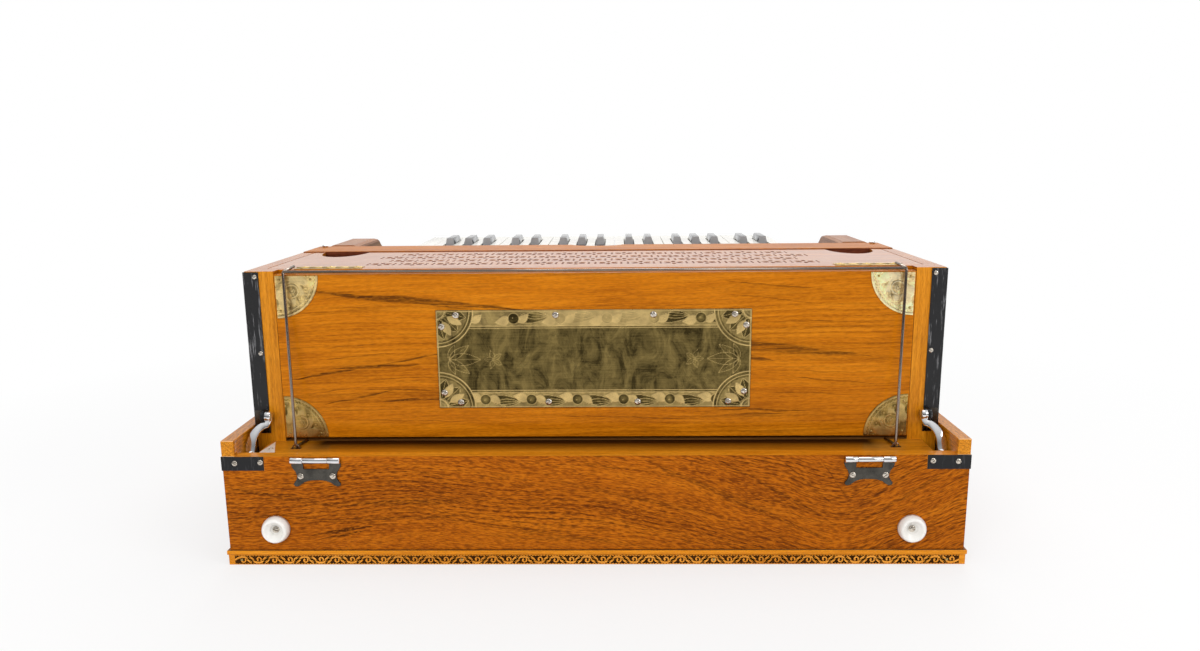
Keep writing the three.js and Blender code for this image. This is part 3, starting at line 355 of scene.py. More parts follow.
def brass_relief(name, ground, raised):
    """Engraved brass: the mesh carries how far each point stands out in the attribute relief."""
    m = Look(name, "brass", Metallic=1.0)
    co = m.coords()
    relief = m.out(m.add("Attribute", attribute_name="relief"), "Fac")
    brushed = m.noise(m.mapping(co, (0.06, 1, 1)), 700, 2, 0.6) - 0.5
    cloud = brushed.line(0.22, m.noise(m.mapping(co, (1, 1, 0.55)), 60, 6, 0.72, 0.8))
    field = m.mix(cloud.rise(0.36, 0.64), times(ground, 0.42), times(ground, 2.9))
    bright = m.mix(m.noise(co, 90, 3).rise(0.3, 0.7), raised, times(raised, 0.62))
    cut = m.mix(relief.rise(0.04, 0.22), times(ground, 0.28), field)
    colour = m.mix(relief.ramp([(0.26, 0), (0.5, 0.45), (0.9, 1)]), cut, bright)
    punch = m.noise(co, 900, 2, 0.6)
    m.dress(colour, m.noise(co, 140, 3).line(0.28, 0.18), punch + cloud * 2.0, 0.4, 0.0003)


def black_metal(name, wear=0.75, gloss=0.36):
    m = Look(name, "black_metal", Specular_IOR_Level=gloss)
    co = m.coords()
    scuff = m.noise(m.mapping(co, (1, 1, 0.08)), 420, 4, 0.7).rise(0.57, 0.72)
    colour = m.mix(scuff * wear, (0.008, 0.008, 0.009), (0.30, 0.30, 0.31))
    m.dress(colour, m.noise(co, 80, 4).line(0.3, 0.22), m.noise(co, 350, 3), 0.3, 0.0003)


def plastic(name, slot, colour, shade, rough=0.28, coat=0.3, scale=40.0, grain=0.1):
    m = Look(name, slot, Coat_Weight=coat, Coat_Roughness=0.1)
    co = m.coords()
    colour = m.mix(m.noise(co, scale, 4, 0.6).rise(0.35, 0.75), colour, shade)
    m.dress(colour, m.noise(co, scale * 4, 3).share(0.2, rough - 0.1), m.noise(co, scale * 12, 2), grain)


def cloth(name, colour, shade):
    m = Look(name, "cloth", Sheen_Weight=0.25, Sheen_Roughness=0.5)
    co = m.coords()
    warp, weft = (m.add("TexWave", wave_type="BANDS", bands_direction=way) for way in "XZ")
    for threads in (warp, weft):
        m.fill(threads, Vector=co, Scale=380, Distortion=0.6)
    weave = m.out(warp, "Fac") * m.out(weft, "Fac")
    colour = m.mix((weave * 0.5 + m.noise(co, 45, 3) * 0.6).rise(0.2, 0.8), shade, colour)
    m.dress(colour, m.noise(co, 120, 3).line(0.2, 0.7), weave, 0.5, 0.0004)


# Dark, middle and light tone of each wood
ORANGE = ((0.32, 0.086, 0.001), (0.465, 0.138, 0.002), (0.56, 0.185, 0.005))
VENEER = ((0.21, 0.046, 0.001), (0.34, 0.084, 0.002), (0.45, 0.128, 0.004))
PALE = ((0.40, 0.13, 0.003), (0.55, 0.195, 0.006), (0.64, 0.25, 0.015))
RAIL = ((0.48, 0.15, 0.004), (0.64, 0.225, 0.008), (0.74, 0.29, 0.02))
INNER = ((0.10, 0.035, 0.008), (0.19, 0.075, 0.018), (0.27, 0.12, 0.03))
# Light tones for the tray's rounded top front edge: a painted highlight, under a real clear coat
EDGE_HIGHLIGHT = ((0.62, 0.31, 0.10), (0.76, 0.43, 0.18), (0.86, 0.53, 0.27))
CHEEK = ((0.27, 0.105, 0.045), (0.36, 0.155, 0.07), (0.43, 0.205, 0.1))
FRET = ((0.07, 0.015, 0.006), (0.13, 0.03, 0.012), (0.19, 0.05, 0.02))
GROUND = ((0.016, 0.006, 0.001), (0.045, 0.016, 0.003), (0.085, 0.03, 0.006))
INLAY = ((0.46, 0.15, 0.008), (0.66, 0.25, 0.02), (0.78, 0.34, 0.05))
LIME = ((0.42, 0.25, 0.11), (0.58, 0.38, 0.19), (0.68, 0.47, 0.26))
# Grain lines of the bellows board and the tray's front: x0, z0, x1, z1, thickness, strength
BOARD_MARKS = [
    (40, 212, 296, 184, 30, 0.2), (-290, 256, -60, 232, 16, 0.16), (-296, 172, -120, 190, 22, 0.17),
    (-290, 146, -110, 152, 20, 0.16), (90, 135, 240, 132, 14, 0.14), (96, 257, 250, 246, 18, 0.1),
    (30, 213, 266, 187.5, 12.0, 0.8), (60, 200.5, 250, 190.5, 8.0, 0.7), (110, 191, 174, 184.4, 7.0, 0.85),
    (110, 198, 215, 190, 2.0, 0.7), (110, 137, 212, 134.2, 2.6, 0.8), (120, 130.6, 186, 132.6, 2.2, 0.7),
    (120, 261.6, 216, 253.4, 1.8, 0.6), (120, 249.4, 216, 240.2, 1.8, 0.55),
    (176, 169.4, 270, 161.2, 1.8, 0.6), (130, 176, 250, 173, 1.4, 0.45), (140, 154, 280, 150, 1.5, 0.5),
    (140, 226, 270, 221, 1.4, 0.45), (-278, 255, -118, 236, 5.5, 0.85), (-238, 251.4, -66, 235, 7.0, 0.85),
    (-294, 167.4, -222, 178.8, 3.2, 0.95), (-258, 177.6, -166, 182.2, 4.2, 0.85),
    (-208, 181.4, -126, 195.5, 2.4, 0.75), (-266, 187.6, -184, 193.8, 2.0, 0.65),
    (-266, 141.4, -192, 156.6, 2.8, 0.75), (-216, 145.4, -131, 148.8, 3.2, 0.85),
    (-232, 157, -138, 156.3, 1.9, 0.65), (-262, 198, -205, 203, 1.2, 0.4), (-230, 166, -140, 171, 1.6, 0.6),
    (-290, 152, -225, 160, 1.5, 0.5), (-72, 131.5, 112, 126.6, 1.8, 0.5),
    (-255, 128.5, -115, 123.5, 1.6, 0.5), (-280, 135, -180, 138, 1.5, 0.5),
]
TRAY_MARKS = [
    (-342, 76, -225, 56, 7, 0.5), (-255, 60, -105, 64, 8, 0.45), (-330, 50, -180, 40, 5, 0.4),
    (-245, 45, -110, 49, 5, 0.5), (-160, 48, 60, 16, 7, 0.45), (-268, 29, -205, 39, 6, 0.9),
    (-262, 24, -212, 34, 3.5, 0.9), (40, 106, 226, 20, 9, 0.5), (110, 106, 228, 38, 5, 0.55),
    (168, 106, 230, 52, 3.5, 0.5), (206, 106, 234, 66, 3, 0.5), (230, 30, 344, 104, 6, 0.45),
    (232, 46, 312, 106, 5, 0.5), (233, 60, 282, 104, 3, 0.5), (-40, 84, 150, 40, 7, 0.35),
    (-20, 102, 96, 84, 3, 0.4), (-300, 92, -180, 84, 3, 0.4), (-120, 30, 20, 22, 4, 0.35),
]
# Height of the tray's growth lines from its left end to its right end, in shares
TRAY_BEND = [(0.0, 0.72), (0.12, 0.76), (0.25, 0.86), (0.42, 0.74), (0.62, 0.52), (0.76, 0.24), (0.83, 0.12),
             (0.88, 0.2), (0.96, 0.48), (1.0, 0.6)]

wood("board", *ORANGE, spacing=5.5, streaks=0.5, seed=0.37, pores=0.3, lines=0.38, turn=0.025, coat=0.14,
     gloss=0.05, strokes=BOARD_MARKS)
wood("wood_x", *ORANGE, seed=1.1, coat=0.5, gloss=0.2)
wood("wood_y", *ORANGE, axis="Y", seed=2.3)
wood("wood_z", *PALE, axis="Z", seed=3.7, streaks=0.2, pores=0.25, lines=0.25, spacing=5)
# The ledge carries a painted shadow of the bellows board, from 17 to 40 mm behind the tray's front
wood("ledge", *PALE, seed=1.4, coat=0.5, gloss=0.2, painted_shadow=(17, 40))
wood("top_x", *ORANGE, seed=1.7, coat=0.65, gloss=0.2)
wood("rail_x", *ORANGE, seed=1.9, coat=0.12, gloss=0.12, rough=0.5)
wood("cheek", *CHEEK, axis="Y", seed=2.9, coat=0.12, gloss=0.08)
wood("fret", *FRET, coat=0.1, rough=0.5, seed=7.9)
wood("veneer_x", *VENEER, spacing=4.6, sway=7, lines=0.72, pores=0.8, seed=5.2, coat=0.12, gloss=0.04,
     bend=TRAY_BEND, strokes=TRAY_MARKS, slot="veneer")
wood("veneer_y", *VENEER, axis="Y", spacing=8, sway=9, lines=0.6, streaks=0.25, pores=0.8, seed=6.4)
wood("plinth_x", *RAIL, seed=4.9, pores=0.15, streaks=0.15)
wood("plinth_y", *PALE, axis="Y", seed=4.3, pores=0.15, streaks=0.15)
wood("edge_x", *RAIL, seed=4.6, streaks=0.15, pores=0.4, coat=0.4)
wood("edge_y", *PALE, axis="Y", seed=4.1, streaks=0.15, pores=0.6, lines=0.5, spacing=4, coat=0.4)
wood("edge_gloss", *EDGE_HIGHLIGHT, seed=3.3, coat=1.0, gloss=0.5, rough=0.2, pores=0.1)
wood("inner_x", *INNER, coat=0.1, rough=0.5, seed=7.5)
wood("inner_y", *INNER, axis="Y", coat=0.1, rough=0.5, seed=8.5)
wood("inlay_ground", *GROUND, seed=9.1, coat=0.0, gloss=0.03, rough=0.7)
wood("inlay", *INLAY, seed=9.8, streaks=0.1, pores=0.1)
wood("key_wood", *LIME, axis="Y", coat=0.0, rough=0.55, seed=11)
# Near-black metal for the lid hinge plates and the bracket shoe: the dark base colour is a painted reflection
# of a dark room
metal("plate_metal", (0.10, 0.093, 0.08), (0.035, 0.033, 0.03), rough=0.2, scale=110)
metal("chrome", (0.86, 0.86, 0.87), (0.72, 0.72, 0.73), rough=0.1, smudge=0.06, dent=0.005)
metal("steel", (0.36, 0.29, 0.235), (0.24, 0.19, 0.155), scale=30, dent=0.0)
metal("screw", (0.78, 0.72, 0.63), (0.46, 0.40, 0.33), rough=0.2, scale=300)
metal("brass", (0.62, 0.44, 0.16), (0.36, 0.24, 0.08), rough=0.26, scale=90, slot="brass")
brass_relief("plate", (0.125, 0.09, 0.03), (0.84, 0.60, 0.24))
# The corners' brass in three copies: plain for the upper left, painted lighter for the upper right and
# painted darker for the two lower corners, as painted highlight and painted shade
brass_relief("corner", (0.46, 0.32, 0.12), (1.0, 0.77, 0.37))
brass_relief("corner_bright", (0.70, 0.51, 0.24), (1.0, 0.86, 0.55))
brass_relief("corner_low", (0.27, 0.18, 0.05), (0.80, 0.58, 0.22))
black_metal("black")
black_metal("strap", 0.12, 0.28)
# Pale non-metallic look for the ledge's nickel plate: its light colour is a painted reflection of the lamps
plastic("nickel", "chrome", (0.84, 0.75, 0.68), (0.74, 0.62, 0.52), rough=0.3, coat=0.5, scale=120)
plastic("white", "white", (0.80, 0.79, 0.76), (0.70, 0.68, 0.63), grain=0.2)
plastic("ivory", "ivory", (0.82, 0.79, 0.71), (0.74, 0.70, 0.60), rough=0.24, coat=0.5, scale=18)
plastic("ebony", "black_key", (0.012, 0.012, 0.013), (0.03, 0.029, 0.03), rough=0.2, coat=0.6, scale=50)
# Grey for the sharps' end faces turned towards -y: a painted sheen standing for the glare they catch
plastic("key_end", "black_key", (0.26, 0.25, 0.25), (0.36, 0.35, 0.35), rough=0.4, coat=0.2)
cloth("cloth", (0.20, 0.012, 0.016), (0.10, 0.005, 0.009))


# Building: angles in radians, gaps in metres
SHARP, CURVED, SAME_PLANE = radians(35), (0.02, 0.3), radians(0.5)
TOUCH, GRID_TOUCH, SLIVER = 1e-6, 1e-7, 3e-6


def placed(mesh, name, body, looks, node=None):
    """Makes a mesh a piece that rides on a body, in its first look's slot, and may stand for a node."""
    for look in looks:
        mesh.materials.append(MATERIAL[look])
    o = linked(name, mesh)
    if body:
        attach(o, body)
    if node:
        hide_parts(node)
    return o


def finished(bm, name, body, looks, rule=None, node=None):
    """Turns a bmesh into a piece. The rule names a face's look from its centre in mm and its normal."""
    looks = looks.split()
    if rule:
        for f in bm.faces:
            centre = f.calc_center_median() * 1000 + Vector((0, MIDDLE, 0))
            f.material_index = looks.index(rule(centre, f.normal))
    mesh = bpy.data.meshes.new(name)
    bm.to_mesh(mesh)
    bm.free()
    return placed(mesh, name, body, looks, node)


def outward(bm):
    bmesh.ops.recalc_face_normals(bm, faces=bm.faces)


def flat_triangles(bm):
    """Cuts the faces with more than four corners."""
    bmesh.ops.triangulate(bm, faces=[f for f in bm.faces if len(f.verts) > 4], ngon_method="EAR_CLIP")


def soften(bm, width, shortest=0.0, segments=2):
    """Rounds the sharp edges longer than shortest, and shades small and curved faces smooth."""
    sharp = [e for e in bm.edges if len(e.link_faces) == 2 and e.calc_length() > shortest / 1000
             and e.calc_face_angle(0) > SHARP]
    made = bmesh.ops.bevel(bm, geom=sharp, offset=width / 1000, offset_type="OFFSET", segments=segments,
                           profile=0.5, affect="EDGES", clamp_overlap=True)
    rounded = set(made["faces"])
    low, high = CURVED
    for f in bm.faces:
        bends = [e.calc_face_angle(0) for e in f.edges if len(e.link_faces) == 2]
        f.smooth = f in rounded or (len(f.verts) == 4 and sum(low < b < high for b in bends) >= 2)
    bmesh.ops.dissolve_degenerate(bm, dist=SLIVER, edges=bm.edges[:])


def cut(bm, place, way, clear=False):
    """Cuts the faces in a plane, and can clear what lies behind it."""
    bmesh.ops.bisect_plane(bm, geom=bm.verts[:] + bm.edges[:] + bm.faces[:], plane_co=place, plane_no=way,
                           clear_inner=clear)


def dressed(node, name, looks, rule=None, width=0.6, shortest=2.5, segments=2, split=None, mend=None):
    """The node's own shape with softened edges and its looks, cut level at split and then mended."""
    bm = bmesh.new()
    bm.from_mesh(NODES[node].data)
    bmesh.ops.remove_doubles(bm, verts=bm.verts, dist=TOUCH)
    bmesh.ops.dissolve_limit(bm, angle_limit=SAME_PLANE, verts=bm.verts, edges=bm.edges)
    flat_triangles(bm)
    bm.normal_update()
    if split:
        cut(bm, at(0, 0, split), UP)
    if mend:
        for v in bm.verts:
            mend(v)
    soften(bm, width, shortest, segments)
    finished(bm, name, BODY[node], looks, rule, node)


def block(bm, low, high):
    """Adds a box between two corners in mm."""
    a, b = at(*low), at(*high)
    turn = Matrix.Translation((a + b) / 2) @ Matrix.Diagonal((b.x - a.x, b.y - a.y, b.z - a.z, 1))
    bmesh.ops.create_cube(bm, size=1, matrix=turn)


def slab(bm, low, high):
    """Adds a closed plate between two outlines of points in mm."""
    tube(bm, [[bm.verts.new(at(*p)) for p in row] for row in (low, high)])


def skin(bm, rings, smooth=True):
    """Joins neighbouring rings, of which some may be a single point."""
    for a, b in zip(rings, rings[1:]):
        sides = max(len(a), len(b))
        for k in range(sides):
            j = (k + 1) % sides
            corners = dict.fromkeys((a[k % len(a)], a[j % len(a)], b[j % len(b)], b[k % len(b)]))
            if len(corners) > 2:
                bm.faces.new(list(corners)).smooth = smooth


def tube(bm, rings):
    """Joins neighbouring rings with flat faces and closes both ends."""
    skin(bm, rings, False)
    bm.faces.new(rings[0])
    bm.faces.new(rings[-1])


def circle(bm, centre, u, v, radius, sides):
    turns = [2 * pi * k / sides for k in range(sides)]
    return [bm.verts.new(centre + (u * cos(a) + v * sin(a)) * radius / 1000) for a in turns]


def swept(bm, points, radius, sides):
    """Adds a closed tube along points in mm."""
    line = [at(*p) for p in points]
    across = (line[1] - line[0]).normalized().orthogonal().normalized()
    rings = []
    for i, p in enumerate(line):
        ahead = (line[min(i + 1, len(line) - 1)] - line[max(i - 1, 0)]).normalized()
        across = (across - ahead * across.dot(ahead)).normalized()
        rings.append(circle(bm, p, across, ahead.cross(across), radius, sides))
    skin(bm, rings)
    bm.faces.new(list(reversed(rings[0])))
    bm.faces.new(rings[-1])


def rounded_path(points, radius, steps=6):
    """The points with each inner corner turned into a bend."""
    points = [Vector(p) for p in points]
    out = [points[0]]
    for a, b, c in zip(points, points[1:], points[2:]):
        start, end = (b + (q - b).normalized() * radius for q in (a, c))
        for t in np.linspace(0, 1, steps + 1):
            out.append(start * (1 - t) ** 2 + b * 2 * t * (1 - t) + end * t * t)
    return out + [points[-1]]


def turned(bm, profile, centre, way, sides):
    """Adds a closed lathe shape. The profile holds radii and heights in mm, along way from centre."""
    way = Vector(way)
    u = way.orthogonal().normalized()
    first, last = profile[0], profile[-1]
    rings = []
    for r, h in [(0, first[1])] * (first[0] > 0) + profile + [(0, last[1])] * (last[0] > 0):
        middle = at(*centre) + way * h / 1000
        rings.append(circle(bm, middle, u, way.cross(u), r, sides) if r else [bm.verts.new(middle)])
    skin(bm, rings)


def lathe(name, body, look, profile, centres, way, sides, node=None):
    """A piece of equal lathe shapes, one at each centre."""
    bm = bmesh.new()
    for centre in centres:
        turned(bm, profile, centre, way, sides)
    outward(bm)
    finished(bm, name, body, look, node=node)


def barrel(radius, length, edge):
    """The profile of a plain cylinder with a small bevel."""
    rim = radius - edge
    return [(0, 0), (rim, 0), (radius, edge), (radius, length - edge), (rim, length), (0, length)]


def screw_head(bm, centre, way, radius, turn):
    """Adds a slotted round head in mm: two half domes over a low disc."""
    u = Vector(way).orthogonal().normalized()
    side = u * cos(turn) + Vector(way).cross(u) * sin(turn)
    height, slot = radius * 0.5, radius * 0.13
    dome = [(radius * r, height * h) for r, h in ((1, 0), (0.96, 0.35), (0.78, 0.72), (0.42, 0.95), (0, 1))]
    for s in (1, -1):
        half = bmesh.new()
        turned(half, dome, centre, way, 20)
        cut(half, at(*centre) + side * s * slot / 1000, side * s, True)
        bmesh.ops.contextual_create(half, geom=[e for e in half.edges if e.is_boundary])
        mesh = bpy.data.meshes.new("half")
        half.to_mesh(mesh)
        half.free()
        bm.from_mesh(mesh)
        bpy.data.meshes.remove(mesh)
    turned(bm, [(radius * 0.97, 0), (radius * 0.95, height * 0.3), (0, height * 0.32)], centre, way, 20)


def screws(name, body, places, look="screw"):
    bm = bmesh.new()
    for i, (centre, way, radius) in enumerate(places):
        screw_head(bm, centre, way, radius, 0.4 + 1.1 * i)
    finished(bm, name, body, look)


def relief_mesh(name, look, place, us, vs, relief, thick, node=None):
    """A brass plate on the bellows board as a fine grid.

    place(u, v, h) gives a point in mm; relief(U, V) gives the height in mm and how bright each point is,
    which on the plate's top band includes a painted reflection.
    """
    U, V = np.meshgrid(us, vs, indexing="ij")
    H, S = relief(U, V)
    nu, nv = U.shape
    verts = [at(*place(U.flat[k], V.flat[k], H.flat[k])) for k in range(nu * nv)]
    grid = [i * nv + j for i in range(nu - 1) for j in range(nv - 1)]
    faces = [(k, k + nv, k + nv + 1, k + 1) for k in grid]
    rim = [i * nv for i in range(nu)] + [(nu - 1) * nv + j for j in range(1, nv)]
    rim += [i * nv + nv - 1 for i in range(nu - 2, -1, -1)] + list(range(nv - 2, 0, -1))
    back = [len(verts) + k for k in range(len(rim))]
    verts += [at(*place(U.flat[k], V.flat[k], -thick)) for k in rim]
    faces += list(zip(rim, back, back[1:] + back[:1], rim[1:] + rim[:1]))
    faces.append(tuple(back))
    mesh = bpy.data.meshes.new(name)
    mesh.from_pydata([tuple(v) for v in verts], [], faces)
    mesh.update()
    attribute = mesh.attributes.new("relief", "FLOAT", "POINT")
    attribute.data.foreach_set("value", np.concatenate([S.ravel(), np.zeros(len(rim))]).astype(np.float32))
    mesh.polygons.foreach_set("use_smooth", [k < len(grid) for k in range(len(faces))])
    bm = bmesh.new()
    bm.from_mesh(mesh)
    bmesh.ops.remove_doubles(bm, verts=bm.verts, dist=GRID_TOUCH)
    outward(bm)
    bm.to_mesh(mesh)
    bm.free()
    placed(mesh, name, "bellows", [look], node)


# Case tray and plinth
TRAY_HALF = 345
PROUD = 1.5
# Limits between faces with different looks
FRONT_INNER, REAR_INNER, FLOOR_PARTS = 12.1, 430.9, 80
STRAP_END, STRAP_LOW, STRAP_HIGH, STRAP_DEEP = 305.5, 93.2, 107.3, 39.3
# The inlay strip's heights, how far its parts stand out, and its repeats
STRIP_LOW, STRIP_MIDDLE, STRIP_HIGH = 0.9, 5.3, 9.7
INLAY_FACE, INLAY_TOP, CURL_TOP, NOTCH_TOP = 0.2, 0.5, 0.52, 0.35
WAVE, NOTCH = 14.7, 2.7
# Each leaf's place across the stem, its length and its width
LEAVES = ((2.1, 5.6, 1.3), (-2.1, 5.6, 1.3), (0.0, 7.6, 1.7))
HINGE_TOP = 104
HINGE_EDGE = [(23, HINGE_TOP), (23, 98.5), (21.6, 95.5), (19.4, 92.5), (18.5, 89), (18.7, 86), (20.2, 83.2),
              (21.8, 81.4), (21.9, 79.6), (20.4, 78.4), (18.0, 78.4), (15.8, 79.6), (12.4, 82.2), (8.2, 83.7),
              (4, 84.3), (0, 84.4)]
# Lathe profiles: radius and height
BUFFER = [(0, 2), (4.7, 2.0), (5.0, 2.3), (5.0, 4), (6.0, 4.4), (8.0, 6.6), (8.9, 7.6), (9.6, 7.97),
          (10.4, 8.0), (11.2, 7.6), (11.9, 6.6), (12.6, 4.6), (13.0, 3.0), (13.0, 0), (0, 0)]
PLINTH_PIN = [(1.5, 0), (1.2, 0.35), (0.6, 0.5), (0, 0.55)]
BUFFER_HEIGHT = 36


def tray_rule(c, n):
    x, sideways = abs(c.x), abs(n.x) > 0.6
    strap = x > STRAP_END and STRAP_LOW < c.z < STRAP_HIGH and c.y < STRAP_DEEP
    if strap and (c.y < -0.2 or x > TRAY_HALF + 0.1):
        return "strap"
    # The rounded top front edge takes the painted highlight
    if 0.25 < n.z < 0.93 and n.y < -0.2 and c.z > HINGE_TOP:
        return "edge_gloss"
    if n.z > 0.6 or (x > INSIDE and c.z > RIM and n.y < -0.6):
        return "edge_y" if x > INSIDE else "edge_x"
    if x < INSIDE - 0.1 and FRONT_INNER < c.y < REAR_INNER:
        return "inner_x"
    if x < INSIDE + 0.2 and sideways:
        return "edge_y" if c.z > FLOOR_PARTS else "inner_y"
    return "veneer_y" if sideways else "veneer_x"


def plinth_rule(c, n):
    if abs(n.z) > 0.6 and abs(c.x) < 330 and 5 < c.y < 438:
        return "inner_x"
    return "plinth_y" if abs(n.x) > 0.6 else "plinth_x"


def tray():
    looks = "veneer_x veneer_y edge_y edge_x strap inner_x inner_y edge_gloss"
    dressed("case_tray", "tray_walls", looks, tray_rule, 0.7)
    dressed("base_plinth", "plinth_rail", "plinth_x plinth_y inner_x", plinth_rule)
    half = TRAY_DEPTH / 2
    strip("front", lambda s, z, h: (s, -PROUD - h, z), 340.5)
    strip("rear", lambda s, z, h: (-s, TRAY_DEPTH + PROUD + h, z), 337)
    strip("left", lambda s, z, h: (-TRAY_HALF - PROUD - h, half - s, z), half - 7)
    strip("right", lambda s, z, h: (TRAY_HALF + PROUD + h, half + s, z), half - 7)
    pins = [(x, -1.75, STRIP_MIDDLE) for x in (-334, -125, 112, 329)]
    lathe("plinth_pins", "tray", "brass", PLINTH_PIN, pins, FRONT, 14)
    for side, spots in (("left", ((-333, 100.8), (-309, 101.5))), ("right", ((334, 101), (311, 101.6)))):
        screws("strap_screws_" + side, "tray", [((x, -0.75, z), FRONT, 2.7) for x, z in spots])


def ribbon(bm, place, points, widths, top):
    """Adds a flat band along points in the inlay's face."""
    rings = []
    for i, (s, z) in enumerate(points):
        a, b = points[max(i - 1, 0)], points[min(i + 1, len(points) - 1)]
        d = Vector((b[0] - a[0], b[1] - a[1])).normalized() * (widths[i] / 2)
        corners = ((-1, top), (1, top), (1, INLAY_FACE), (-1, INLAY_FACE))
        rings.append([bm.verts.new(at(*place(s + way * d.y, z - way * d.x, h))) for way, h in corners])
    tube(bm, rings)


def strip(name, place, reach):
    """The inlay strip: a dark ground with a scrolling stem, curls and leaves that turn up and down."""
    bm = bmesh.new()
    ground = [(-reach, STRIP_LOW), (reach, STRIP_LOW), (reach, STRIP_HIGH), (-reach, STRIP_HIGH)]
    slab(bm, *([place(s, z, h) for s, z in ground] for h in (-INLAY_FACE, INLAY_FACE)))
    outward(bm)
    finished(bm, "inlay_ground_" + name, "tray", "inlay_ground")
    bm = bmesh.new()
    count, steps = round(2 * reach / WAVE), 12
    half = 2 * reach / count
    waves = [sin(pi * k / steps) for k in range(count * steps + 1)]
    stem = [(half * k / steps - reach, STRIP_MIDDLE + 2.9 * wave) for k, wave in enumerate(waves)]
    ribbon(bm, place, stem, [1.5 + 0.3 * abs(wave) for wave in waves], INLAY_TOP)
    shares = [t / steps for t in range(steps + 1)]
    for i in range(count):
        s0 = half * i - reach
        way = 1 if i % 2 == 0 else -1
        curl = []
        for t in shares:
            a, r = radians(40 - 290 * t), 2.5 - 1.5 * t
            curl.append((s0 + half * 0.53 + r * cos(a), STRIP_MIDDLE + way * (r * sin(a) - 0.5)))
        ribbon(bm, place, curl, [1.2 + 0.8 * t ** 3 for t in shares], CURL_TOP)
        for shift, length, wide in LEAVES if i else ():
            blade = []
            for t in shares:
                a = (t - 0.5) * length
                blade.append((s0 + a * 0.80 + shift * 0.62, STRIP_MIDDLE + way * (a * 0.66 - shift * 0.76)))
            ribbon(bm, place, blade, [0.25 + wide * sin(pi * t) ** 0.8 for t in shares], INLAY_TOP)
    count = round(2 * reach / NOTCH)
    notch, gap = 2 * reach / count, 0.02
    for i in range(count):
        s0 = notch * i - reach
        for z0, z1 in ((STRIP_LOW, STRIP_LOW + 0.9), (STRIP_HIGH, STRIP_HIGH - 0.9)):
            corners = ((s0 + gap, z0), (s0 + notch - gap, z0), (s0 + notch / 2, z1))
            slab(bm, *([place(s, z, h) for s, z in corners] for h in (INLAY_FACE, NOTCH_TOP)))
    outward(bm)
    finished(bm, "inlay_scroll_" + name, "tray", "inlay")


def lid_hinge(side, x):
    """Lift-off hinge half: a waisted plate with a slot, and a tube that is cut into three knuckles."""
    bm = bmesh.new()
    window = [(-12, HINGE_TOP), (-12, 95.4), (12, 95.4), (12, HINGE_TOP)]
    outline = window + HINGE_EDGE + [(-a, z) for a, z in HINGE_EDGE[-2::-1]]
    slab(bm, *([(x + a, y, z) for a, z in outline] for y in (-1.6, -0.05)))
    outward(bm)
    flat_triangles(bm)
    soften(bm, 0.3, 0.8)
    finished(bm, f"lid_hinge_{side}_plate", "tray", "plate_metal", node="lid_hinge_" + side)
    bm = bmesh.new()
    for start, end, r in ((-23, -11.6, 3.0), (-11.4, 11.4, 2.6), (11.6, 23, 3.0)):
        turned(bm, barrel(r, end - start, 0.4), (x + start, -3, HINGE_TOP), (1, 0, 0), 28)
    outward(bm)
    finished(bm, f"lid_hinge_{side}_tube", "tray", "chrome")


def tray_fittings():
    for side, hinge, buffer in (("left", -257, -299), ("right", 253, 295)):
        lid_hinge(side, hinge)
        places = [((hinge + a, -1.55, 88.5), FRONT, 3.1) for a in (-15, 15)]
        screws(f"lid_hinge_{side}_screws", "tray", places)
        place = (buffer, 0, BUFFER_HEIGHT)
        lathe(f"buffer_{side}_turned", "tray", "white", BUFFER, [place], FRONT, 56, "buffer_" + side)
        screws(f"buffer_{side}_screw", "tray", [((buffer, -2.0, BUFFER_HEIGHT), FRONT, 3.4)])


# Cabinet
# Limits between faces with different looks
SIDE_FACE, POST_X, PLAYER_FACE, TOP_PARTS = 330, 300, 397, 262
RECESS_X, RECESS_Y, RECESS_TOP = 305, 330, 240
CHEEK_X, CHEEK_Y = 280, 270
# Hinge strips and studs of the lid
STRIP_LENGTH, KNUCKLES = 64, 5
STUD = [(3.4, 0), (3.4, 0.6), (1.7, 0.9), (1.6, 1.9), (2.9, 2.3), (3.7, 2.9), (3.4, 3.9), (2.2, 4.6),
        (0, 4.8)]


def cabinet_rule(c, n):
    x, sideways = abs(c.x), abs(n.x) > 0.6
    if c.y < BOARD_FRONT + 0.2 and x < SIDE_FACE and c.z < LEDGE_TOP + 1.4:
        return "ledge"
    if c.y < BOARD_FRONT + 0.5 and n.y < -0.6 and c.z > LEDGE_TOP + 0.4:
        return "wood_z" if x > POST_X else "wood_x"
    if x > SIDE_FACE - 0.5 or (x > RECESS_X and c.y > RECESS_Y and c.z < RECESS_TOP and sideways):
        return "wood_y"
    if c.z > TOP_PARTS:
        if x > CHEEK_X and c.y > CHEEK_Y:
            return "cheek"
        return "wood_y" if sideways else "wood_x"
    if c.y > PLAYER_FACE and n.y > 0.6:
        return "wood_x"
    return "inner_y" if sideways else "inner_x"


def rail_rule(c, n):
    if abs(n.x) > 0.7:
        return "wood_y"
    return "fret" if n.y < -0.7 else "rail_x"


def low_cheek(v):
    """The key cheeks' tops are a little lower and flatter than the plain solid's."""
    if v.co.z > CHEEK_EDGE / 1000 and v.co.y * 1000 + MIDDLE > 280:
        v.co.z = (CHEEK_EDGE + (v.co.z * 1000 - CHEEK_EDGE) * 0.56) / 1000


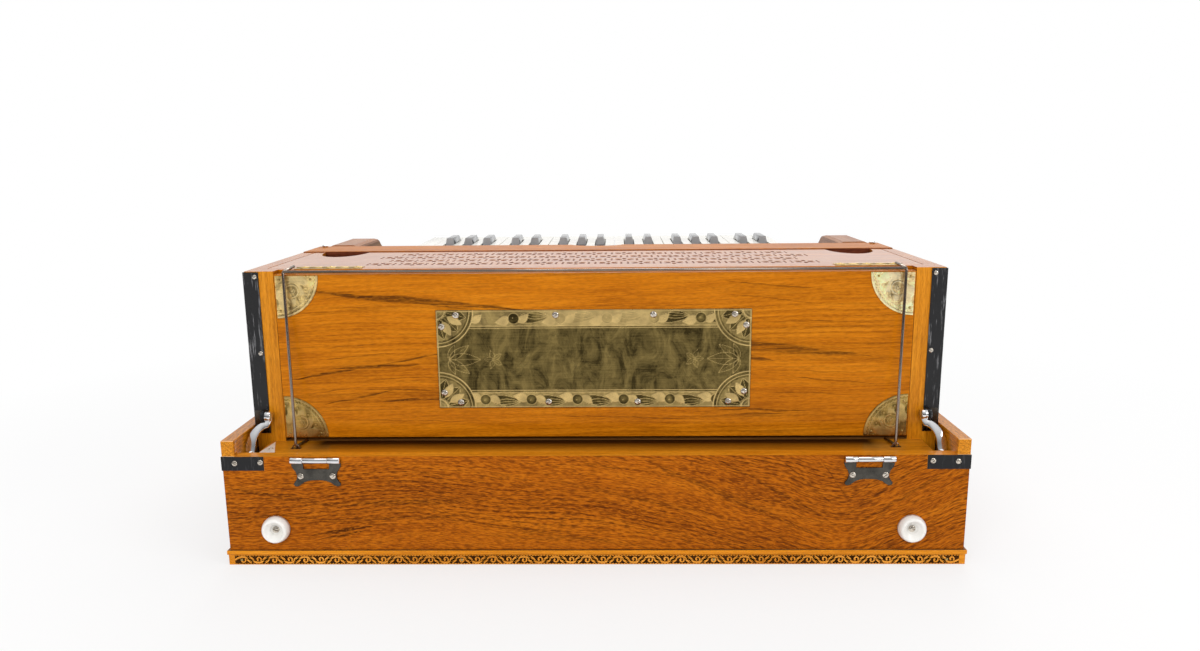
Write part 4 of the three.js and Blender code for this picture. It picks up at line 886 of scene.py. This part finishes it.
def cabinet():
    looks = "wood_x wood_y wood_z inner_x inner_y cheek ledge"
    dressed("cabinet_case", "cabinet_boards", looks, cabinet_rule, 0.8, 4, split=CHEEK_EDGE, mend=low_cheek)
    dressed("rear_rail", "rear_rail_board", "rail_x wood_y fret", rail_rule, 1.2, 2)
    for side, sign in SIDES:
        angle = "corner_angle_" + side
        dressed(angle, angle + "_iron", "black", width=0.3, shortest=1.2)
        front = [((sign * 320.4, 48.75, z), FRONT, 2.3) for z in (268, 194)]
        outer = [((sign * 331.75, 56, z), (sign, 0, 0), 2.3) for z in (262, 190, 146)]
        screws(angle + "_screws", "cabinet", front + outer)
        bracket(side, sign)
    ledge_plate()
    hinge_strips()
    for side, sign in SIDES:
        lathe("lid_stud_" + side, "cabinet", "chrome", STUD, [(sign * 321.5, 262, 272.2)], UP, 24)


def bracket(side, sign):
    """Chrome shoe over the foot of the corner angle, where the lift arm holds the cabinet."""
    bm = bmesh.new()
    a, b = sorted((sign * 317.4, sign * 330.9))
    block(bm, (a, 48.25, 114.6), (b, 48.85, 137.5))
    soften(bm, 0.25)
    finished(bm, f"bracket_{side}_shoe", "cabinet", "plate_metal")
    screws(f"bracket_{side}_screws", "cabinet", [((sign * 326, 48.3, 119.5), FRONT, 2.8)])


def ledge_plate():
    """Small nickel plate on one corner of the ledge, beside the arm's pocket, whose pale colour is a painted
    reflection.
    """
    bm = bmesh.new()
    low, top = LEDGE_TOP - 0.05, LEDGE_TOP + 0.4
    slab(bm, *([(x, y, z) for x, y in ((-316, 14.6), (-301, 14.6), (-312, 46))] for z in (low, top)))
    outward(bm)
    finished(bm, "ledge_plate_nickel", "cabinet", "nickel")
    screws("ledge_plate_screw", "cabinet", [((-308.5, 25, top), UP, 2.2)])


def hinge_strips():
    """Brass strips on the lid's axis, with their knuckles in turn on the cabinet and on the lid."""
    y, z, length, gap = LID_AXIS_Y, LID_AXIS_Z, STRIP_LENGTH / KNUCKLES, 0.2
    for side, x in (("left", -288), ("right", 232)):
        for part, body, y0, y1 in (("fixed", "cabinet", 64.6, 70.8), ("moving", "lid", 73.8, 81.5)):
            fixed = part == "fixed"
            low, high = (y0 + 1, y - 0.8) if fixed else (y + 0.8, y1 - 1)
            bm = bmesh.new()
            block(bm, (x, y0, z - 0.05), (x + STRIP_LENGTH, y1, z + 0.55))
            soften(bm, 0.2)
            for i in range(0 if fixed else 1, KNUCKLES, 2):
                start, end = x + length * i + gap, x + length * (i + 1) - gap
                swept(bm, [(start, y, z), (end, y, z)], 1.3, 24)
                block(bm, (start, low, z + 0.1), (end, high, z + 0.5))
            name = f"lid_strip_{side}_{part}"
            finished(bm, name, body, "brass")
            places = [(x + STRIP_LENGTH * t, (y0 + y1) / 2, z + 0.5) for t in (0.1, 0.5, 0.9)]
            screws(name + "_screws", body, [(place, UP, 1.5) for place in places], "brass")


# Top lid with its fretwork
LID_HALF, LID_REAR = 315.8, 211.7
ROWS, COLUMNS = 4, 14
FRET_LEFT, FRET_WIDTH, FRET_FRONT, FRET_MARGIN = -229, 454, 86.3, 28.6
NOTCH_X, NOTCH_HALF, NOTCH_DEEP = 279.5, 25, 46
LID_THICK, LID_ROUND, LID_HEIGHT = 3.6, 0.4, 269.2


def petal(cx, cy, angle, length, width, start):
    """The outline of one pointed hole of the fretwork."""
    c, s = cos(angle), sin(angle)
    points = []
    for i in range(12):
        a = 2 * pi * i / 12
        t = (1 - cos(a)) / 2
        across = width / 2 * sin(a) * sin(pi * min(max(t, 0.02), 0.98)) ** 0.4
        ahead = start + length * t
        points.append((cx + ahead * c - across * s, cy + ahead * s + across * c))
    return points


def lid_rule(c, n):
    if n.z < -0.5:
        return "inner_x"
    return "fret" if abs(n.z) < 0.5 and 76 < c.y < 208 and abs(c.x) < 244 else "top_x"


def top_lid():
    """The lid with two notches and rows of six-petalled flowers between crosswise petals."""
    loops = [[(-LID_HALF, LID_AXIS_Y), (LID_HALF, LID_AXIS_Y), (LID_HALF, LID_REAR)]]
    for s in (1, -1):
        turns = [pi * i / 20 for i in range(21)]
        loops[0] += [(s * NOTCH_X + NOTCH_HALF * cos(a), LID_REAR - NOTCH_DEEP * sin(a)) for a in turns]
    loops[0].append((-LID_HALF, LID_REAR))
    cell_x, cell_y = FRET_WIDTH / COLUMNS, (LID_REAR - LID_AXIS_Y - FRET_MARGIN) / ROWS
    for row in range(ROWS):
        odd = row % 2
        for column in range(COLUMNS - odd):
            cx = FRET_LEFT + cell_x * (column + odd / 2 + 0.5)
            cy = FRET_FRONT + cell_y * (row + 0.5)
            for k in range(6):
                loops.append(petal(cx, cy, pi / 6 + pi * k / 3, 8.0, 4.6, 3.1))
            for s in (-1, 1):
                for way in (-1, 1):
                    loops.append(petal(cx + s * 12.9, cy, way * pi / 2, 6.4, 2.6, 1.2))
    curve = bpy.data.curves.new("lid_outline", "CURVE")
    curve.dimensions = "2D"
    curve.fill_mode = "BOTH"
    curve.extrude = LID_THICK / 1000
    curve.bevel_depth = LID_ROUND / 1000
    curve.bevel_resolution = 1
    curve.offset = -LID_ROUND / 1000
    for loop in loops:
        spline = curve.splines.new("POLY")
        spline.points.add(len(loop) - 1)
        for p, (x, y) in zip(spline.points, loop):
            p.co = (*at(x, y, 0), 1)
        spline.use_cyclic_u = True
    temp = linked("lid_outline", curve)
    mesh = bpy.data.meshes.new_from_object(temp.evaluated_get(bpy.context.evaluated_depsgraph_get()))
    bpy.data.objects.remove(temp)
    bm = bmesh.new()
    bm.from_mesh(mesh)
    bmesh.ops.remove_doubles(bm, verts=bm.verts, dist=TOUCH)
    bmesh.ops.translate(bm, verts=bm.verts, vec=(0, 0, LID_HEIGHT / 1000))
    outward(bm)
    finished(bm, "top_lid_fretwork", "lid", "top_x inner_x fret", lid_rule, "top_lid")


# Engraved and embossed brass, as shares from dark cuts at 0 to rubbed lines at 1
PLATE_X, PLATE_Z = 150, 48
PLATE_HEIGHT = (BOARD_LOW + BOARD_HIGH) / 2 - 2.5
RELIEF, CORNER_X = 0.3, 301.5
# Which copy of the corners' brass each corner takes: painted highlight at the upper right, painted shade at
# both feet
CORNER_LOOK = {"top_left": "corner", "top_right": "corner_bright", "foot_left": "corner_low",
               "foot_right": "corner_low"}
CORNER_PIN = [(1.3, 0), (1.1, 0.4), (0.6, 0.62), (0, 0.7)]


def step(low, high, x):
    t = np.clip((x - low) / (high - low), 0, 1)
    return t * t * (3 - 2 * t)


def ridge(distance, width):
    return 1 - step(0, 1, np.abs(distance) / width)


def ray(reach, turn):
    """A point at reach in the direction turn, and the direction itself."""
    return reach * cos(turn), reach * sin(turn), turn


def along_leaf(U, V, x, y, angle, length, width, bow):
    """Place along a leaf from x, y, the distance from its curved middle, and half its breadth there."""
    c, s = cos(angle), sin(angle)
    a = (U - x) * c + (V - y) * s
    t = np.clip(a / length, 0, 1)
    b = -(U - x) * s + (V - y) * c - bow * np.sin(np.pi * t)
    return a, b, width / 2 * np.sin(np.pi * t ** 0.8)


def leaf(U, V, x, y, angle, length, width, vein, bow):
    """A pointed leaf: about one inside, nothing outside, with a cut down its middle and fine ribs."""
    a, b, half = along_leaf(U, V, x, y, angle, length, width, bow)
    inside = step(0, 0.9, half - np.abs(b)) * (a > 0) * (a < length)
    ribs = 0.25 * (0.5 + 0.5 * np.cos((a - np.abs(b)) * 2 * np.pi / 2.6))
    return inside * (1 - vein * ridge(b, 0.7) - ribs)


def leaf_line(U, V, x, y, angle, length, width, thick, bow=0.0):
    """The outline of a pointed leaf with its middle vein, as a raised line."""
    a, b, half = along_leaf(U, V, x, y, angle, length, width, bow)
    return np.maximum(ridge(np.abs(b) - half, thick), 0.7 * ridge(b, thick * 0.8)) * (a > 0) * (a < length)


def with_leaf(h, U, V, spot, area, edge, low, rise, vein=0.0, bow=0.0, line=0.0, thick=0.6):
    """The relief with a leaf in an area, its height going from low by rise, and with its raised outline."""
    mark = leaf(U, V, *spot, vein, bow)
    h = np.where(area * mark > edge, low + rise * mark, h)
    return np.maximum(h, line * area * leaf_line(U, V, *spot, thick, bow)) if line else h


def with_lines(h, distance, lines, area=1):
    """The relief with raised lines in an area, each given by its distance, width and height."""
    for place, width, tall in lines:
        h = np.maximum(h, tall * ridge(distance - place, width) * area)
    return h


def plate_relief(U, V):
    A, B = np.abs(U), np.abs(V)
    P, Q = PLATE_X - A, PLATE_Z - B
    corner = np.hypot(P, Q)
    outside = step(34.5, 36.5, corner)
    band = outside * step(31.6, 32.4, B)
    h = 0.16 + 0.24 * band
    for way, shift in ((1, 13.0), (-1, -16.0)):
        row = band * (V * way > 0)
        for k in range(-3, 4):
            cx = 44.5 * k + shift
            if abs(cx) < 112:
                for x, *spot, bow in ((6, 37.4, 0.12, 31, 10.5, 2.2), (8, 43.6, -0.05, 26, 5.5, -1.0)):
                    spot = (cx + x, *spot)
                    h = with_leaf(h, U, B, spot, row, 0.3, 0.23, -0.16, 0.0, bow, 0.8, 0.55)
            if abs(cx) < 124:
                buds = ((-3, 41.5, pi + 0.34, 16.5, 10.0, 1.6), (3, 36.5, 0.62, 14.5, 8.6, -1.2))
                for x, *spot, bow in buds:
                    h = with_leaf(h, U, B, (cx + x, *spot), row, 0.25, 0.5, 0.4, 0.2, bow)
                bud = np.hypot(U - cx, B - 39.8)
                inside = 1 - step(4.5, 5.5, bud)
                h = np.where(row * inside > 0.5, 0.06 + 0.16 * np.clip(1 - bud / 5, 0, 1), h)
                eye = 0.9 * ridge(np.hypot(U - cx + 0.8, B - 40.4), 1.1)
                h = np.maximum(h, row * np.maximum(0.75 * ridge(bud - 5.2, 0.7), eye))
        scallop = 32.9 + 0.9 * np.abs(np.sin(U * np.pi / 7.4))
        h = np.maximum(h, 0.6 * row * (B < scallop))
    # Painted reflection: a lighter patch along the middle of the top band, which also raises its relief a
    # little
    painted_reflection = 0.85 * band * (V > 0) * (step(-62, -34, U) - step(52, 74, U))
    h = h * (1 - painted_reflection) + painted_reflection * (0.68 + 0.3 * h)
    inside = 1 - step(29.5, 30.5, corner)
    h = np.where(inside > 0.5, 0.34, h)
    for degrees, tone in ((14, 0.06), (45, 0.10), (76, 0.06)):
        spot = (*ray(9, radians(degrees)), 20.5, 13)
        h = with_leaf(h, P, Q, spot, inside, 0.3, tone + 0.2, -0.2, line=0.95)
    for degrees in (29.5, 60.5):
        h = with_leaf(h, P, Q, (*ray(12, radians(degrees)), 17, 9), inside, 0.3, 0.5, 0.35, 0.2)
    h = with_lines(h, corner, ((8.4, 0.9, 1.0), (5.6, 0.6, 0.6)), inside)
    h = with_lines(h, corner, ((35.4, 1.1, 1.0), (32.0, 0.8, 0.85)))
    h = with_lines(h, B, ((30.6, 0.7, 0.95), (32.4, 0.7, 0.7)), outside)
    field = (1 - step(28.8, 29.6, B)) * outside
    for a, length, wide in ((0.0, 31, 12), (0.62, 24, 8), (-0.62, 24, 8), (1.2, 16, 6), (-1.2, 16, 6)):
        h = np.maximum(h, 0.62 * field * leaf_line(P - 8, V, 3, 0, a, length, wide, 0.55))
    for a in (0.0, 1.257, 2.513, 3.77, 5.027):
        h = np.maximum(h, 0.55 * field * leaf_line(A, V, 96, 0, a, 9.5, 4.4, 0.5))
    h = np.maximum(h, 0.85 * ridge(np.maximum(-P, -Q) + 0.9, 1.1))
    return RELIEF * h, h


def brass_plate():
    relief_mesh("brass_plate_engraved", "plate", lambda u, v, h: (u, 48.8 - h, PLATE_HEIGHT + v),
                np.linspace(-PLATE_X, PLATE_X, 501), np.linspace(-PLATE_Z, PLATE_Z, 161), plate_relief, 1.2,
                "brass_plate")
    spots = [(-131, 43.2), (-36, 43), (57, 43), (134, 43), (-145, 32), (145, 32.5), (-129, -42.6),
             (-44, -42.4), (42, -42.6), (129, -42.4), (-144.5, -33), (144, -32.5)]
    screws("brass_plate_screws", "bellows", [((x, 48.75, PLATE_HEIGHT + v), FRONT, 3.4) for x, v in spots])


def corner_relief(R, T):
    """Embossed lotus in a quarter round: R is mm from the board's corner, T the angle."""
    X, Y = R * np.cos(T), R * np.sin(T)
    inner = 1 - step(34.0, 34.8, R)
    h = np.full_like(X, 0.34)
    for degrees in (12, 33.5, 56.5, 78):
        t = radians(degrees)
        spot = (*ray(13, t), 20, 12.5)
        h = with_leaf(h, X, Y, spot, inner, 0.2, 0.42, 0.3, 0.2, line=0.75, thick=0.7)
        h = with_leaf(h, X, Y, (*ray(21, t + 0.19), 12.5, 4.6), inner, 0.4, 0.12, 0.0)
    for degrees in (1, 22.5, 45, 67.5, 89):
        x, y, _ = ray(31.5, radians(degrees))
        d = np.hypot(X - x, Y - y)
        h = np.where(inner * (1 - step(1.8, 2.4, d)) > 0.5, 0.16, h)
        h = np.maximum(h, inner * ridge(d, 1.2))
    hook = np.hypot(X - 15.5, Y - 14.5)
    turn = np.arctan2(Y - 14.5, X - 15.5)
    h = np.where((hook < 7.6) & (hook > 1.2), 0.3, h)
    h = np.maximum(h, 0.95 * ridge(hook - 6.0, 1.1) * (np.abs(turn + 0.6) < 2.2))
    h = np.maximum(h, 0.8 * ridge(hook - 2.6, 0.8) * (np.abs(turn - 0.9) < 1.9))
    h = with_lines(h, R, ((36.0, 0.8, 0.8), (39.4, 1.2, 1.0)))
    scallop = 37.7 + 0.7 * np.cos(T * 64)
    h = np.where(np.abs(R - scallop) < 0.5, 0.12, h)
    return RELIEF * h, h


def corners():
    """Quarter rounds on the board's corners, each with a pin near its corner and two at its ends."""
    radii, angles = np.concatenate([[0.02], np.linspace(0.5, 41, 82)]), np.linspace(0, pi / 2, 97)
    for name, look in CORNER_LOOK.items():
        sx = -1 if "left" in name else 1
        z, sz = (BOARD_HIGH - 1, -1) if "top" in name else (BOARD_LOW + 1, 1)
        relief_mesh("brass_corner_" + name, look,
                    lambda r, t, h: (sx * (CORNER_X - r * cos(t)), 49.25 - h, z + sz * r * sin(t)),
                    radii, angles, corner_relief, 0.7)
        spots = [ray(r, radians(a)) for r, a in ((5.5, 45), (34, 6), (34, 84))]
        pins = [(sx * (CORNER_X - a), 49.05, z + sz * b) for a, b, _ in spots]
        lathe(f"brass_corner_{name}_pins", "bellows", "brass", CORNER_PIN, pins, FRONT, 12)


# Bellows
FOLDS, FOLD_DEPTH, FOLD_STEP = 5, 3.2, 24
FOLDS_FRONT, FOLDS_BACK = 62.05, 73.95
FOLDS_HALF, FOLDS_LOW, FOLDS_HIGH, FOLDS_ROUND = 297.5, 109.2, 254.7, 7.0


def fold_ring(y, inset):
    """The way round the bellows at one depth, in steps of about FOLD_STEP."""
    r = FOLDS_ROUND
    x, low, high = FOLDS_HALF - inset - r, FOLDS_LOW + inset + r, FOLDS_HIGH - inset - r
    ring = []
    for cx, cz, start in ((x, low, -90), (x, high, 0), (-x, high, 90), (-x, low, 180)):
        turns = [radians(start + 22.5 * k) for k in range(5)]
        ring += [(cx + r * cos(a), y, cz + r * sin(a)) for a in turns]
    dense = []
    for a, b in zip(ring, ring[1:] + ring[:1]):
        parts = max(1, round(dist(a, b) / FOLD_STEP))
        dense += [tuple(a[j] + (b[j] - a[j]) * k / parts for j in range(3)) for k in range(parts)]
    return dense


def board_rule(c, n):
    if abs(n.x) > 0.7:
        return "wood_z"
    return "top_x" if n.z > 0.5 else "board"


def bellows():
    bm = bmesh.new()
    block(bm, (-BOARD_HALF, BOARD_FRONT, BOARD_LOW), (BOARD_HALF, BOARD_BACK, BOARD_HIGH))
    soften(bm, 0.6)
    finished(bm, "bellows_board_panel", "bellows", "board wood_z top_x", board_rule, "bellows_board")
    corners()
    brass_plate()
    bm = bmesh.new()
    rings = []
    for i in range(2 * FOLDS + 1):
        y = FOLDS_FRONT + (FOLDS_BACK - FOLDS_FRONT) * i / (2 * FOLDS)
        rings.append([bm.verts.new(at(*p)) for p in fold_ring(y, 0 if i % 2 else FOLD_DEPTH)])
    skin(bm, rings, False)
    outward(bm)
    o = finished(bm, "bellows_pleats", None, "cloth", node="bellows_folds")
    at(0, 73.8, 180)
    at(0, 62.2, 180)
    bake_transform(o)


WIRE, STAPLE_WIRE = 1.4, 0.6
BAIL_X, BAIL_EYE_Y = 285, 27


def wire():
    bm = bmesh.new()
    for s in (-1, 1):
        path = [(281, 47, 107.3), (BAIL_X, BAIL_EYE_Y, 107.3), (292, 46.5, LID_AXIS_Z), (287, 62.5, 276.2)]
        swept(bm, rounded_path([(s * x, y, z) for x, y, z in path], 3.0), WIRE, 14)
    swept(bm, [(-292, 46.5, 273.0), (292, 46.5, 273.0)], WIRE, 14)
    finished(bm, "wire_bail_bent", "bail", "steel", node="wire_bail")
    bm = bmesh.new()
    foot = LEDGE_TOP + 0.4
    for s in (-1, 1):
        x, y = s * BAIL_X, BAIL_EYE_Y
        block(bm, (x - 5, y - 2, LEDGE_TOP + 0.02), (x + 5, y + 2, foot))
        hoop = ((-3.4, 0), (-2.4, 2.6), (0, 3.8), (2.4, 2.6), (3.4, 0))
        swept(bm, [(x + a, y, foot + b) for a, b in hoop], STAPLE_WIRE, 8)
    finished(bm, "wire_staples", "cabinet", "steel")


# Keyboard, arms and stops
# The height where each kind of key changes from bare wood to its covering
SHARP_SPLIT, WHITE_SPLIT = 257.2, 268.2
ARM_FOOT, ARM_TOP = Vector((0, 20.5, 99)), Vector((0, 41.5, 133))
ARM_OUTER, ARM_INNER, BEND_START, BEND_RISE = 327.75, 314.75, 8, 23.5
# The strap's section: share of its half width, and height over its middle
ARM_SECTION = ((-1, -1.2), (1, -1.2), (1, 1.2), (0.6, 1.7), (0, 1.95), (-0.6, 1.7), (-1, 1.2))
RIVET = [(4.2, 0), (4.0, 0.6), (2.8, 1.1), (0, 1.3)]
STOP_HEIGHT, COLLAR_FACE = 200, 410
STOP = [(0, -34), (3.6, -34), (4, -33.6), (4, 0), (6.2, 0), (6.8, 0.6), (7.0, 1.6), (6.2, 3.0), (6.6, 4.6),
        (9.4, 6.2), (10.7, 8), (11, 10.2), (10.9, 13.6), (10.2, 16.2), (8.6, 17.7), (6.6, 18), (5.4, 17.4),
        (0, 17.1)]
COLLAR = [(4.3, 0), (8.6, 0), (8.8, 0.5), (8.0, 1.2), (6.0, 1.5), (4.3, 1.5)]


def sharp_rule(c, n):
    if c.z < SHARP_SPLIT:
        return "key_wood"
    # End faces turned towards -y take the grey key_end look, a painted sheen
    return "key_end" if n.y < -0.5 else "ebony"


def white_rule(c, n):
    return "key_wood" if c.z < WHITE_SPLIT else "ivory"


def keyboard():
    dressed("key_carriage", "carriage_board", "key_wood")
    for node in BODY:
        if node.startswith("key_") and node != "key_carriage":
            if "sharp" in node:
                dressed(node, node + "_ebony", "ebony key_wood key_end", sharp_rule, 0.9, 1.5, 3, SHARP_SPLIT)
            else:
                dressed(node, node + "_ivory", "ivory key_wood", white_rule, 0.6, 1.5, 3, WHITE_SPLIT)


def front_arm(side, sign):
    """Chrome strap from the tray's pocket that arches inward over its upper half to the cabinet's pivot."""
    ahead = (ARM_TOP - ARM_FOOT).normalized()
    face = Vector((0, -ahead.z, ahead.y))
    spine = [(ARM_OUTER, s) for s in (-2, 3, BEND_START)]
    for k in range(1, 18):
        a = pi / 2 * k / 18
        spine.append((ARM_INNER + (ARM_OUTER - ARM_INNER) * cos(a), BEND_START + BEND_RISE * sin(a)))
    spine += [(ARM_INNER + 0.45, 33.2), (ARM_INNER, 36), (ARM_INNER, 42.5)]
    bm = bmesh.new()
    rings = []
    for i, (x, s) in enumerate(spine):
        before, after = spine[max(i - 1, 0)], spine[min(i + 1, len(spine) - 1)]
        d = Vector((after[0] - before[0], after[1] - before[1])).normalized()
        half = 3.8 + (1.0 if s > 5 else 0) - 1.7 * min(max((s - BEND_START) / 24, 0), 1)
        bow = 2.2 * sin(pi * min(max((s - 3) / 33, 0), 1)) ** 1.5
        ring = []
        for share, v in ARM_SECTION:
            q = ARM_FOOT + ahead * (s - d.x * half * share) + face * (v + bow)
            ring.append(bm.verts.new(at(sign * (x + d.y * half * share), q.y, q.z)))
        rings.append(ring)
    tube(bm, rings)
    outward(bm)
    soften(bm, 0.5)
    way = (sign, 0, 0)
    for start, end, centre, r in ((324, 331.5, ARM_FOOT, 6), (311.75, 317.75, ARM_TOP, 5.5)):
        turned(bm, barrel(r, end - start, 0.6), (sign * start, centre.y, centre.z), way, 28)
    turned(bm, [(2.4, 0), (2.4, 10), (0, 10)], (sign * 312, ARM_TOP.y, ARM_TOP.z), way, 16)
    outward(bm)
    node = "arm_front_" + side
    finished(bm, node + "_strap", node, "chrome", node=node)


def arms():
    for side, sign in SIDES:
        front_arm(side, sign)
        node = "arm_rear_" + side
        dressed(node, node + "_bar", "chrome", width=0.5, shortest=1.2)
        place = (sign * 323.9, 20.54, ARM_FOOT.z)
        lathe("arm_rivet_" + side, "arm_front_" + side, "screw", RIVET, [place], (-sign, 0, 0), 20)


def stops():
    for name, x in (("left", -150), ("centre", 0), ("right", 150)):
        node = "stop_knob_" + name
        place = (x, COLLAR_FACE + 2, STOP_HEIGHT)
        lathe(node + "_turned", BODY[node], "ebony", STOP, [place], BACK, 48, node)
        lathe("stop_collar_" + name, "cabinet", "brass", COLLAR, [(x, COLLAR_FACE, STOP_HEIGHT)], BACK, 40)


camera()
stage_and_light()
tray()
tray_fittings()
cabinet()
top_lid()
bellows()
wire()
keyboard()
arms()
stops()
